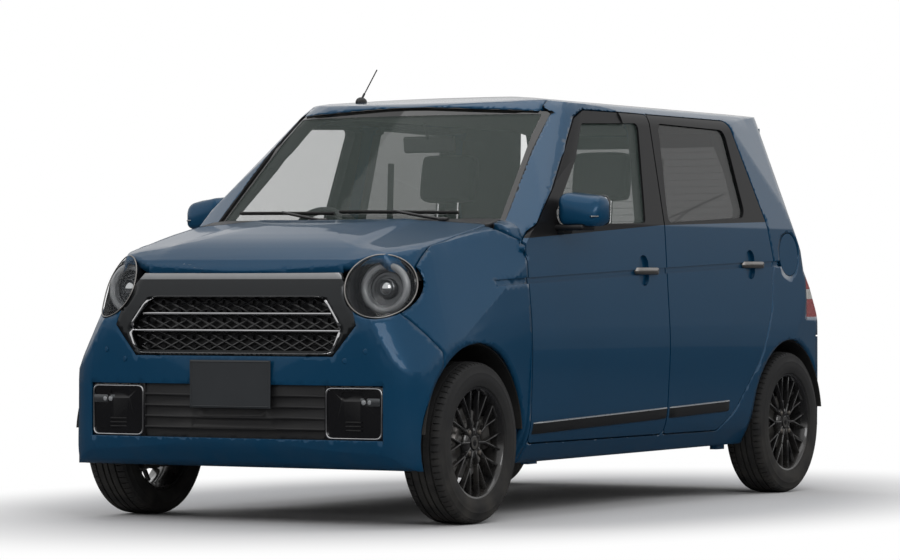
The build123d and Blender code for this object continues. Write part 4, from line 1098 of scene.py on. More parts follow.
def hexagon(shrink=0.0):
    rows = [(y - shrink, z + (-shrink if z > 0.7 else shrink if z < 0.6 else 0)) for y, z in GRILLE]
    return rows + [(-y, z) for y, z in reversed(rows)]


def clip(rows, a, b):
    """The part of a line that lies in a convex outline."""
    low, high = 0.0, 1.0
    way = (b[0] - a[0], b[1] - a[1])
    centre = (sum(r[0] for r in rows) / len(rows), sum(r[1] for r in rows) / len(rows))
    for i, first in enumerate(rows):
        second = rows[(i + 1) % len(rows)]
        normal = (second[1] - first[1], first[0] - second[0])
        side = (centre[0] - first[0]) * normal[0] + (centre[1] - first[1]) * normal[1]
        sign = 1 if side > 0 else -1
        start_side = sign * ((a[0] - first[0]) * normal[0] + (a[1] - first[1]) * normal[1])
        rate = sign * (way[0] * normal[0] + way[1] * normal[1])
        if abs(rate) < 1e-12:
            if start_side < 0:
                return None
            continue
        t = -start_side / rate
        if rate > 0:
            low = max(low, t)
        else:
            high = min(high, t)
    return (low, high) if low < high else None


def mask_finish():
    """Dark metallic surround, with a painted highlight along its top edge: grey turning to bright silver towards the
    top.
    """
    made, tree, shader = material("grille_surround", Metallic=0.8, Coat_Weight=0.4, Coat_Roughness=0.1)
    where = node(tree, "TexCoord").outputs["Object"]
    height = node(tree, "SeparateXYZ", {0: where}).outputs["Z"]
    # Painted highlight: above z 0.846 the colour is grey, brightening to silver up to z 0.880.
    top = maths(tree, "GREATER_THAN", height, 0.846)
    fade = node(tree, "MapRange", {"Value": height, "From Min": 0.846, "From Max": 0.880})
    silver = node(tree, "MixRGB", {0: fade, 1: (0.20, 0.205, 0.21, 1), 2: (0.46, 0.465, 0.47, 1)})
    colour = node(tree, "MixRGB", {0: top, 1: (*sizes().car_finish.mask, 1), 2: silver})
    cloudy = use(tree, "cloudiness", {"Colour": colour, "Scale": 30.0, "Amount": 0.12, "Roughness": 0.33})
    feed(tree, shader, {"Base Color": cloudy.outputs["Colour"], "Roughness": cloudy.outputs["Roughness"]})
    return made


FINISHES["grille_surround"] = mask_finish


class CAR_OT_grille(Operator):
    """Bright outline, two bars and a diamond lattice in the grille, with a black sheet of painted shade behind them"""
    bl_idname = "small_car.grille"
    bl_label = "Grille"

    def execute(self, context):
        tree = surface("grille_mask", "front_bumper", "grille")
        rows = rounded([Vector((y, z, 0)) for y, z in hexagon(-0.004)], 0.035)
        rim = band("grille_outline", on_front(tree, [(v.x, v.y) for v in rows], 0.0), 0.009, 0.004)
        dress(rim, "root", "grey_trim", "chrome", smooth=50)
        middle = {}

        def nose(y, lift):
            key = round(y, 3)
            if key not in middle:
                middle[key] = front_x(tree, 0.46 if y >= 0 else -0.46, 0.66)
            edge, centre = middle[key], front_x(tree, 0.0, 0.80)
            return edge + (centre - edge) * (1 - (y / 0.46) ** 2) + lift

        bars = []
        for z in (0.727, 0.668):
            reach = clip(hexagon(0.006), (-0.5, z), (0.5, z))
            ends = [-0.5 + t for t in reach]
            line = [Vector((nose(ends[0] + (ends[1] - ends[0]) * i / 16, -0.014),
                            ends[0] + (ends[1] - ends[0]) * i / 16, z)) for i in range(17)]
            bar = tube("bar", line, 0.0052)
            bars.append(bar)
        dress(join("grille_bars", bars), "root", "grey_trim", "chrome", smooth=50)
        strips = []
        inner = hexagon(0.004)
        for slope in (-1, 1):
            for i in range(-14, 15):
                offset = i * 0.0620
                a, b = (offset - 0.24, 0.689 - slope * 0.115), (offset + 0.24, 0.689 + slope * 0.115)
                cut = clip(inner, a, b)
                if cut is None or cut[1] - cut[0] < 0.04:
                    continue
                line = []
                for k in range(7):
                    t = cut[0] + (cut[1] - cut[0]) * k / 6
                    y, z = a[0] + (b[0] - a[0]) * t, a[1] + (b[1] - a[1]) * t
                    line.append(Vector((nose(y, -0.024), y, z)))
                strips.append(tube("strip", line, 0.0042, sides=1))
        for z in [0.612 + 0.0310 * i for i in range(6)]:
            cut = clip(inner, (-0.5, z), (0.5, z))
            for part in range(28):
                y = -0.434 + part * 0.031 + (0.0155 if round((z - 0.612) / 0.031) % 2 else 0)
                if -0.5 + cut[0] < y - 0.012 and y + 0.012 < -0.5 + cut[1]:
                    strips.append(slab("stud", (0.010, 0.016, 0.010), (nose(y, -0.026), y, z), bevel=0))
        lattice = join("grille_lattice", strips)
        dress(lattice, "root", "grey_trim", "gloss_black", smooth=40)
        # Painted shade: a flat black sheet just behind the lattice fills the whole opening, so the grille reads dark
        # inside.
        back = [Vector((nose(y, -0.045), y, z)) for y, z in hexagon(-0.012)]
        shutter = outline("grille_shutter", back + [Vector((nose(0, -0.045), 0, 0.69))],
                          [(i, (i + 1) % 6, 6) for i in range(6)])
        modify(shutter, "SOLIDIFY", thickness=0.004, offset=-1)
        dress(shutter, "root", "black_plastic", "black_plastic")
        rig.replaces(lattice, "grille")
        return {"FINISHED"}


COVER_PASSES = 40  # how often the lamp cover's points are averaged


def lamp_parts(size):
    """The pieces of the left headlamp, about the lamp's own axis."""
    turn = LAMP_AXIS.to_track_quat("Z", "Y").to_matrix()
    radius, rings, steps = size.radius, 9, 64
    tree = surface("headlamps", "front_bumper", "front_fenders", "bonnet", "grille_mask")
    across, up = turn @ Vector((1, 0, 0)), turn @ Vector((0, 1, 0))
    rows = []
    for i in range(rings + 1):
        r = radius * i / rings
        rows.append([])
        for k in range(steps if i else 1):
            angle = 2 * math.pi * k / steps
            origin = LAMP_CENTRE + LAMP_AXIS * 0.4 + (across * math.cos(angle) + up * math.sin(angle)) * r
            hit = tree.ray_cast(origin, -LAMP_AXIS, 0.5)[0]
            inner = rows[i - 1][k if i > 1 else 0] if i else 0.0
            rows[-1].append((hit - LAMP_CENTRE).dot(LAMP_AXIS) if hit else inner)
    for _ in range(COVER_PASSES):
        fresh = [list(row) for row in rows]
        fresh[0][0] = sum(rows[1]) / steps
        for i in range(1, rings):
            for k in range(steps):
                outer, inner = rows[i + 1][k], rows[i - 1][k if i > 1 else 0]
                fresh[i][k] = (rows[i][k - 1] + rows[i][(k + 1) % steps] + outer + inner) / 4
        for k in range(steps):
            fresh[rings][k] = (rows[rings][k - 1] + 2 * rows[rings][k] + rows[rings][(k + 1) % steps]) / 4
        rows = fresh
    place = lambda r, k, h: LAMP_CENTRE + LAMP_AXIS * h + (across * math.cos(2 * math.pi * k / steps)
                                                           + up * math.sin(2 * math.pi * k / steps)) * r
    swell = lambda i: 0.006 * (1 - (i / rings) ** 2)
    cover_points = [place(0, 0, rows[0][0] + swell(0) - 0.002)]
    for i in range(1, rings + 1):
        cover_points += [place(radius * i / rings, k, rows[i][k] + swell(i) - 0.002) for k in range(steps)]
    sides = [(0, 1 + k, 1 + (k + 1) % steps) for k in range(steps)]
    for i in range(1, rings):
        a, b = 1 + (i - 1) * steps, 1 + i * steps
        sides += [(a + k, b + k, b + (k + 1) % steps, a + (k + 1) % steps) for k in range(steps)]
    cover = outline("lamp_cover_left", cover_points, sides)
    edge = [place(radius + 0.0015, k, rows[rings][k] + 0.001) for k in range(steps)]
    floor = -0.075
    wall_points = [place(radius - 0.002, k, rows[rings][k] - 0.004) for k in range(steps)]
    wall_points += [place(radius * 0.93, k, floor + 0.02) for k in range(steps)]
    wall_points += [place(radius * 0.80, k, floor) for k in range(steps)] + [place(0, 0, floor)]
    wall_sides = [(i * steps + k, i * steps + (k + 1) % steps, (i + 1) * steps + (k + 1) % steps,
                   (i + 1) * steps + k) for i in range(2) for k in range(steps)]
    wall_sides += [(2 * steps + k, 2 * steps + (k + 1) % steps, 3 * steps) for k in range(steps)]
    wall = outline("lamp_housing_left", wall_points, wall_sides)
    return cover, wall, edge


class CAR_OT_headlamps(Operator):
    """Round headlamps with a light ring, a projector lens and a clear cover"""
    bl_idname = "small_car.headlamps"
    bl_label = "Headlamps"

    def execute(self, context):
        size = context.scene.car_lamps
        cover, wall, edge = lamp_parts(size)
        modify(cover, "SOLIDIFY", thickness=0.0025, offset=-1)
        dress(cover, "root", "lamp_lens", "lamp_glass", smooth=60)
        modify(wall, "SOLIDIFY", thickness=0.003, offset=1)
        dress(wall, "root", "lamp_lens", "lamp_black", smooth=30)
        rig.replaces(wall, "headlamps")
        rim = tube("lamp_rim_left", edge, 0.0024, closed=True, sides=3)
        dress(rim, "root", "grey_trim", "titanium", smooth=60)
        deep = LAMP_CENTRE - LAMP_AXIS * size.recess
        r = size.ring
        ring = turned("light_ring_left", [(r - 0.013, 0.000), (r - 0.011, 0.010), (r - 0.004, 0.015),
                                          (r + 0.004, 0.015), (r + 0.011, 0.010), (r + 0.013, 0.000),
                                          (r + 0.010, -0.010), (r - 0.010, -0.010)], deep, LAMP_AXIS, steps=72)
        dress(ring, "root", "lamp_lens", "light_ring", smooth=50)
        bowl = turned("lamp_bowl_left", [(r - 0.012, -0.002), (r - 0.020, -0.004), (r - 0.022, -0.012),
                                         (r - 0.030, -0.012), (r - 0.031, -0.020), (r - 0.040, -0.020),
                                         (r - 0.044, -0.028), (r - 0.040, -0.031), (r - 0.018, -0.028),
                                         (r - 0.010, -0.010)], deep, LAMP_AXIS, steps=72)
        dress(bowl, "root", "lamp_lens", "lamp_grey", smooth=30)
        barrel = turned("lamp_barrel_left", [(size.lens + 0.006, 0.004), (size.lens + 0.002, 0.006),
                                             (size.lens, 0.002), (size.lens, -0.028),
                                             (size.lens + 0.008, -0.028)], deep, LAMP_AXIS, steps=56)
        dress(barrel, "root", "lamp_lens", "lamp_grey", smooth=30)
        lens = turned("lamp_lens_left", [(0.0, 0.012), (size.lens * 0.35, 0.0108), (size.lens * 0.65, 0.0070),
                                         (size.lens * 0.88, 0.0015), (size.lens * 0.985, -0.006),
                                         (0.0, -0.008)], deep, LAMP_AXIS, steps=56, closed=False)
        dress(lens, "root", "lamp_lens", "mirror", smooth=60)
        for piece in (cover, wall, rim, ring, bowl, barrel, lens):
            pair(piece, "root")
        return {"FINISHED"}


class CAR_OT_bumper_trim(Operator):
    """Bright outlines, lamps and vent slats of the square bezels, sensors and plates"""
    bl_idname = "small_car.bumper_trim"
    bl_label = "Bumper trim"

    def execute(self, context):
        tree = surface("fog_bezels", "front_bumper")
        frame_rows = rounded([Vector((y, z, 0)) for y, z in ((0.376, 0.304), (0.590, 0.304), (0.590, 0.474),
                                                             (0.376, 0.474))], 0.022)
        line = on_front(tree, [(v.x, v.y) for v in frame_rows], 0.002)
        rim = band("bezel_outline_left", line, 0.0065, 0.0035)
        dress(rim, "root", "grey_trim", "chrome", smooth=50)
        pair(rim, "root")
        lamps = []
        for i in range(3):
            y = 0.520 + i * 0.024
            x = front_x(tree, y, 0.425)
            lamps.append(turned("led", [(0.0, 0.0045), (0.006, 0.0035), (0.0095, 0.000), (0.0095, -0.004),
                                        (0.0, -0.004)], (x, y, 0.428), (1, 0.25, 0), steps=24, closed=False))
        leds = join("fog_leds_left", lamps)
        dress(leds, "root", "lamp_lens", "light_ring", smooth=50)
        pair(leds, "root")
        tray = slab("fog_tray_left", (0.006, 0.084, 0.028), (front_x(tree, 0.544, 0.428) - 0.001, 0.544, 0.428),
                    bevel=0.004, turn=Matrix.Rotation(-0.12, 3, "Z"))
        dress(tray, "root", "lamp_lens", "lamp_grey")
        pair(tray, "root")
        vents = [slab("vent", (0.006, 0.070, 0.0045), (front_x(tree, 0.45, z) + 0.0005, 0.478, z), bevel=0.001,
                      turn=Matrix.Rotation(-0.12, 3, "Z")) for z in (0.332, 0.346, 0.360)]
        slots = join("bezel_vents_left", vents)
        dress(slots, "root", "black_plastic", "black_plastic")
        pair(slots, "root")
        sensors = []
        for y, z in ((0.452, 0.568), (0.532, 0.600)):
            x = front_x(tree, y, z)
            sensors.append(turned("sensor", [(0.0, 0.0022), (0.0080, 0.0018), (0.0098, 0.000), (0.0098, -0.006),
                                             (0.0, -0.006)], (x, y, z), (1, 0.35, 0.05), steps=28,
                                  closed=False))
        eyes = join("sensors_left", sensors)
        dress(eyes, "root", "body_paint", "sensor_paint", smooth=40)
        pair(eyes, "root")
        for name, body, node_name in (("plate_front_face", "root", "plate_front"),
                                      ("plate_rear_face", "tailgate", "plate_rear")):
            solid = NODES[node_name].data
            points = [v.co for v in solid.vertices]
            centre = sum(points, Vector()) / len(points)
            lean = 0.0 if body == "root" else math.atan2(max(p.x for p in points) - min(p.x for p in points)
                                                         - 0.004, 0.165)
            plate = slab(name, (0.0035, 0.330, 0.165), (0, 0, 0), bevel=0.0012)
            edit(plate, lambda c, n: n.x > 0.9 if body == "root" else n.x < -0.9,
                 ("inset", {"thickness": 0.006, "depth": 0.0}),
                 ("inset", {"thickness": 0.0012, "depth": -0.0008}))
            shift = Vector((0.0012 if body == "root" else -0.0012, 0, 0))
            dress(set_place(plate, centre + shift, Matrix.Rotation(-lean if body != "root" else 0, 3, "Y")),
                  body, "plate", "plate", smooth=30)
            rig.replaces(plate, node_name)
        return {"FINISHED"}


FINISHES["sensor_paint"] = lambda: body_paint("sensor_paint")


# ---------------------------------------------------------------- sides, glass and tail
HANDLES = (("front", -0.034, 0.879), ("rear", -0.953, 0.907))
GARNISH = (("front", 0.842, -0.200), ("rear", -0.222, -0.735))
GARNISH_FOOT, GARNISH_RISE = 0.296, 0.0268  # height of the front end, and the rise towards the rear
FLATTER, TALLER = 0.75, 1.15  # a handle's section, from a round one
MIRROR = Vector((0.612, 0.801, 1.100))
LEFT_SKIN = ("side_left", "door_front_left", "door_rear_left", "front_fenders", "fuel_lid")


def shaped(piece, move):
    """Move every point of a piece by a rule."""
    for point in piece.data.vertices:
        point.co = move(point.co)
    return piece


def loft(name, rows):
    """A skin over rows of points, with both ends closed."""
    wide, faces = len(rows[0]), []
    for i in range(len(rows) - 1):
        for j in range(wide):
            k = (j + 1) % wide
            faces.append((i * wide + j, i * wide + k, (i + 1) * wide + k, (i + 1) * wide + j))
    faces += [tuple(range(wide)), tuple((len(rows) - 1) * wide + j for j in reversed(range(wide)))]
    return outline(name, [point for row in rows for point in row], faces)


def on_glass(tree, y, z, lift=0.008):
    """A place on the windscreen, a little in front of it."""
    return Vector((front_x(tree, y, z) + lift, y, z))


class CAR_OT_door_trim(Operator):
    """Door handles and the strips along the foot of the doors"""
    bl_idname = "small_car.door_trim"
    bl_label = "Door trim"

    def execute(self, context):
        tree = surface(*LEFT_SKIN)
        half = sizes().car_trim.handle / 2
        for end, x, z in HANDLES:
            body = f"door_{end}_left"
            skin = max(side_y(tree, x + dx, z) for dx in (-half, half))
            line = [(-half, -0.004), (-half + 0.004, 0.016), (-0.030, 0.023), (0.030, 0.023),
                    (half - 0.004, 0.016), (half, -0.004)]
            grip = tube(f"handle_{end}_left", [(x + dx, skin + dy, z) for dx, dy in line], 0.0115, smooth=True)
            middle = skin + 0.018
            shaped(grip, lambda p: Vector((p.x, middle + (p.y - middle) * FLATTER, z + (p.z - z) * TALLER)))
            dress(grip, body, "grey_trim", "titanium", smooth=60)
            cap = slab(f"handle_end_{end}_left", (0.034, 0.018, 0.027), (x - half - 0.004, skin + 0.006, z),
                       0.007, segments=3)
            dress(cap, body, "grey_trim", "titanium", smooth=50)
            lock = start("cylinder", f"lock_{end}_left", vertices=24, radius=0.006, depth=0.004)
            set_place(lock, (x - half - 0.006, skin + 0.0155, z), Matrix.Rotation(math.pi / 2, 3, "X"))
            dress(lock, body, "grey_trim", "chrome")
            for piece in (grip, cap, lock):
                pair(piece, body, f"door_{end}_right")
        for end, x0, x1 in GARNISH:
            body = f"door_{end}_left"
            # The dark strip gets a light satin-silver band along its top edge: a painted highlight.
            for part, low, high, proud in (("strip", 0.0, 0.040, 0.009), ("strip_edge", 0.035, 0.044, 0.0105)):
                rows = []
                for i in range(25):
                    x = x0 + (x1 - x0) * i / 24
                    foot = GARNISH_FOOT + (GARNISH[0][1] - x) * GARNISH_RISE
                    end_fade = min(1, (0.3 + i) / 1.5, (24.3 - i) / 1.5)
                    section = [(low, 0.0), (low + 0.003, proud * 0.8), ((low + high) / 2, proud),
                               (high - 0.003, proud * 0.85), (high, 0.0)]
                    rows.append([(x, side_y(tree, x, foot + dz) + dy * end_fade - 0.001, foot + dz)
                                 for dz, dy in section])
                piece = loft(f"{part}_{end}_left", rows)
                dress(piece, body, "grey_trim", "garnish" if part == "strip" else "satin_silver", smooth=50)
                pair(piece, body, f"door_{end}_right")
        return {"FINISHED"}


class CAR_OT_mirrors(Operator):
    """Door mirrors with their feet, lamps and glass"""
    bl_idname = "small_car.mirrors"
    bl_label = "Door mirrors"

    def execute(self, context):
        shell = slab("mirror_shell_left", (0.132, 0.170, 0.126), (0, 0, 0), 0.036, segments=5)

        def shape(p):
            front = max(0.0, p.x / 0.066)
            out = (p.y + 0.085) / 0.170
            lean = 1 - 0.16 * out - 0.30 * front ** 2 * (0.4 + out)
            return Vector((p.x - 0.022 * out * front, p.y * (1 - 0.10 * front), (p.z + 0.063) * lean - 0.063))

        shaped(shell, shape)
        set_place(shell, MIRROR)
        dress(shell, "door_front_left", "body_paint", "paint_plain", smooth=60)
        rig.replaces(shell, "mirror_left")
        foot = slab("mirror_foot_left", (0.098, 0.120, 0.020), MIRROR + Vector((0.006, -0.034, -0.068)), 0.008,
                    segments=3)
        arm = slab("mirror_arm_left", (0.070, 0.050, 0.030), MIRROR + Vector((0.006, -0.080, -0.076)), 0.010,
                   segments=3)
        foot = join("mirror_foot_left", [foot, arm])
        dress(foot, "door_front_left", "black_plastic", "black_plastic", smooth=50)
        slit = slab("mirror_lamp_left", (0.030, 0.060, 0.006), MIRROR + Vector((0.026, 0.046, -0.030)), 0.0025,
                    Matrix.Rotation(math.radians(-36), 3, "Z"))
        dress(slit, "door_front_left", "lamp_lens", "satin_silver")
        glass = slab("mirror_glass_left", (0.004, 0.140, 0.098), MIRROR + Vector((-0.0645, -0.004, -0.006)),
                     0.0018)
        dress(glass, "door_front_left", "lamp_lens", "mirror")
        rim = tube("mirror_rim_left", rounded([(MIRROR.x - 0.0648, MIRROR.y + dy, MIRROR.z + dz)
                                               for dy, dz in ((-0.078, -0.057), (0.070, -0.057), (0.070, 0.045),
                                                              (-0.078, 0.050))], 0.024), 0.0035, closed=True)
        dress(rim, "door_front_left", "black_plastic", "gloss_black", smooth=60)
        for piece in (shell, foot, slit, glass, rim):
            other = pair(piece, "door_front_left", "door_front_right")
            if piece is shell:
                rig.replaces(other, "mirror_right")
        return {"FINISHED"}


class CAR_OT_wipers(Operator):
    """Front and rear wipers, and the aerial"""
    bl_idname = "small_car.wipers"
    bl_label = "Wipers and aerial"

    def execute(self, context):
        tree = surface("windscreen", "cowl")
        for name, inner, outer, pivot in (("near", -0.020, 0.440, 0.430), ("far", -0.500, -0.040, -0.060)):
            steps = [inner + (outer - inner) * k / 8 for k in range(9)]
            line = [on_glass(tree, y, 1.082 + 0.012 * (outer - y), 0.012) for y in steps]
            blade = join(f"wiper_{name}", [tube(f"wiper_{name}_rubber", line, 0.0035),
                                           tube(f"wiper_{name}_spine", [p + Vector((0.006, 0, 0.004))
                                                                        for p in line], 0.005)])
            dress(blade, "root", "black_plastic", "rubber", smooth=60)
            foot = on_glass(tree, pivot, 1.058, 0.010)
            middle = line[4] + Vector((0.016, 0, 0.006))
            arm = join(f"wiper_arm_{name}", [tube(f"wiper_arm_{name}_bar",
                                                  [foot, foot.lerp(middle, 0.35) + Vector((0.014, 0, 0)),
                                                                            middle], 0.0055),
                                             slab(f"wiper_arm_{name}_cap", (0.034, 0.034, 0.018), foot, 0.007,
                                                  segments=3)])
            dress(arm, "root", "black_plastic", "gloss_black", smooth=50)
        roof = surface("roof_panel")
        base = start("uv_sphere", "aerial_foot", segments=24, ring_count=12, radius=1.0)
        base.data.transform(Matrix.Diagonal((0.034, 0.0165, 0.020, 1)))
        top = land(roof, (0.246, -0.350, 3), (0, 0, -1)).z
        set_place(base, (0.244, -0.350, top))
        dress(base, "root", "black_plastic", "black_plastic", smooth=60)
        rod = tube("aerial_rod", [(0.240, -0.350, top + 0.014), (0.129, -0.350, 1.650)], 0.0024)
        sleeve = tube("aerial_sleeve", [(0.242, -0.350, top + 0.011), (0.222, -0.350, top + 0.034)], 0.0042)
        rod = join("aerial_rod", [rod, sleeve])
        dress(rod, "root", "black_plastic", "rubber", smooth=60)
        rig.replaces(base, "antenna")
        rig.replaces(rod, "antenna")
        glass = surface("tailgate_glass", "tailgate")
        sweep = [(0.030 + 0.30 * k / 8, 1.100 + 0.10 * k / 8) for k in range(9)]
        line = [land(glass, (-3, y, z), (1, 0, 0)) - Vector((0.008, 0, 0)) for y, z in sweep]
        pivot = land(glass, (-3, 0.0, 1.045), (1, 0, 0))
        rear = join("wiper_rear", [tube("wiper_rear_rubber", line, 0.004),
                                   tube("wiper_rear_arm", [pivot - Vector((0.016, 0, 0)),
                                                           line[3] - Vector((0.014, 0, 0)),
                                                           line[5] - Vector((0.006, 0, 0))], 0.0055),
                                   slab("wiper_rear_cap", (0.024, 0.040, 0.034), pivot - Vector((0.010, 0, 0)),
                                        0.009)])
        dress(rear, "tailgate", "black_plastic", "gloss_black", smooth=50)
        return {"FINISHED"}


class CAR_OT_tail(Operator):
    """High brake lamp, tailgate grip, number lamps, reflectors and reversing sensors"""
    bl_idname = "small_car.tail"
    bl_label = "Tail details"

    def execute(self, context):
        gate = surface("tailgate")
        bumper = surface("rear_bumper")
        spoiler = surface("spoiler", "tailgate")

        def behind(tree, y, z):
            return land(tree, (-3, y, z), (1, 0, 0))

        lamp = slab("high_brake_lamp", (0.008, 0.240, 0.012),
                    behind(spoiler, 0.004, 1.487) + Vector((0.002, 0, 0)), 0.003)
        dress(lamp, "tailgate", "red_lens", "red_lens")
        grip_x = behind(gate, 0.10, 0.996).x
        grip = slab("tailgate_grip", (0.022, 0.460, 0.030), (grip_x - 0.004, 0, 0.996), 0.008, segments=3)
        dress(grip, "tailgate", "grey_trim", "titanium", smooth=50)
        shade = slab("number_lamps", (0.014, 0.300, 0.012), (grip_x - 0.004, 0, 0.974), 0.003)
        dress(shade, "tailgate", "black_plastic", "black_plastic")
        for hand, sign in HANDS:
            spot = behind(bumper, sign * 0.545, 0.345)
            reflector = slab(f"reflector_{hand}", (0.010, 0.100, 0.026), spot, 0.004,
                             Matrix.Rotation(-sign * 0.22, 3, "Z"))
            dress(reflector, "root", "red_lens", "red_lens")
            for side, y in (("outer", 0.430), ("inner", 0.200)):
                sensor = start("cylinder", f"sensor_{side}_{hand}", vertices=24, radius=0.009, depth=0.005)
                set_place(sensor, behind(bumper, sign * y, 0.505), Matrix.Rotation(math.pi / 2, 3, "Y"))
                dress(sensor, "root", "body_paint", "paint_plain")
        return {"FINISHED"}


# ---------------------------------------------------------------- cabin
def cushion(name, size, place, turn=None, puff=0.25, seams=(0.10,), looks="seat_fabric"):
    """A padded block: rounded, with sewn seams sunk round its top panel."""
    piece = start("cube", name, size=1.0)
    piece.data.transform(Matrix.Diagonal((*size, 1)))
    modify(piece, "BEVEL", width=min(size) * puff, segments=2, limit_method="ANGLE")
    for seam in seams:
        edit(piece, lambda centre, normal: normal.z > 0.9 and abs(centre.z - size[2] / 2) < 0.003,
             ("inset", {"thickness": seam * min(size[:2]), "depth": 0.002}),
             ("inset", {"thickness": 0.004, "depth": -0.006}), ("inset", {"thickness": 0.008, "depth": 0.009}))
    modify(piece, "SUBSURF", levels=2)
    set_place(piece, place, turn)
    dress(piece, "root", "seat_fabric", looks, smooth=70)
    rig.padded(piece, 0.9)
    return piece


def tip(angle):
    return Matrix.Rotation(math.radians(angle), 3, "Y")


class CAR_OT_seats(Operator):
    """Padded seats, head restraints and belts"""
    bl_idname = "small_car.seats"
    bl_label = "Seats"

    def execute(self, context):
        for hand, sign in HANDS:
            y = 0.340 * sign
            parts = [
                cushion(f"seat_base_{hand}", (0.500, 0.300, 0.120), (-0.070, y, 0.405), tip(-4)),
                cushion(f"seat_back_{hand}", (0.560, 0.270, 0.110), (-0.322, y, 0.760), tip(-104),
                        seams=(0.12,)),
                cushion(f"head_rest_{hand}", (0.190, 0.235, 0.095), (-0.410, y, 1.245), tip(-100), puff=0.3),
            ]
            for side in (-1, 1):
                parts.append(cushion(f"seat_base_bolster_{hand}_{side + 1}", (0.480, 0.088, 0.140),
                                     (-0.070, y + side * 0.190, 0.410), tip(-4), puff=0.32, seams=(),
                                     looks="seat_leather"))
                parts.append(cushion(f"seat_back_bolster_{hand}_{side + 1}", (0.520, 0.092, 0.140),
                                     (-0.315, y + side * 0.178, 0.750), tip(-104), puff=0.32, seams=(),
                                     looks="seat_leather"))
            for part in parts:
                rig.replaces(part, "front_seats")
            posts = join(f"head_rest_posts_{hand}", [tube(f"post_{hand}_{side}",
                                                          [(-0.385, y + side * 0.045, 1.02),
                                                           (-0.402, y + side * 0.045, 1.17)], 0.006)
                                                     for side in (-1, 1)])
            dress(posts, "root", "grey_trim", "chrome", smooth=60)
            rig.replaces(posts, "front_seats")
            base = slab(f"seat_frame_{hand}", (0.440, 0.400, 0.070), (-0.080, y, 0.312), 0.012)
            dress(base, "root", "black_plastic", "cabin_plastic")
            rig.replaces(base, "front_seats")
            belt = sheet_of(f"belt_{hand}", [(-0.420, sign * 0.600, 1.310), (-0.375, sign * 0.600, 1.310),
                                             (-0.345, sign * 0.606, 0.420), (-0.390, sign * 0.606, 0.420)],
                            0.002)
            dress(belt, "root", "seat_fabric", "carpet")
        rear = [cushion("rear_base", (0.400, 1.040, 0.120), (-0.890, 0, 0.455), tip(-3), puff=0.3,
                        seams=(0.14,)),
                cushion("rear_back", (0.560, 1.040, 0.110), (-1.135, 0, 0.735), tip(-103), puff=0.3,
                        seams=(0.14,))]
        for sign in (-1, 1):
            rear.append(cushion(f"rear_head_rest_{sign + 1}", (0.085, 0.230, 0.070),
                                (-1.192, sign * 0.270, 0.952), tip(-100), puff=0.3, seams=()))
        for part in rear:
            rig.replaces(part, "rear_seat")
        return {"FINISHED"}


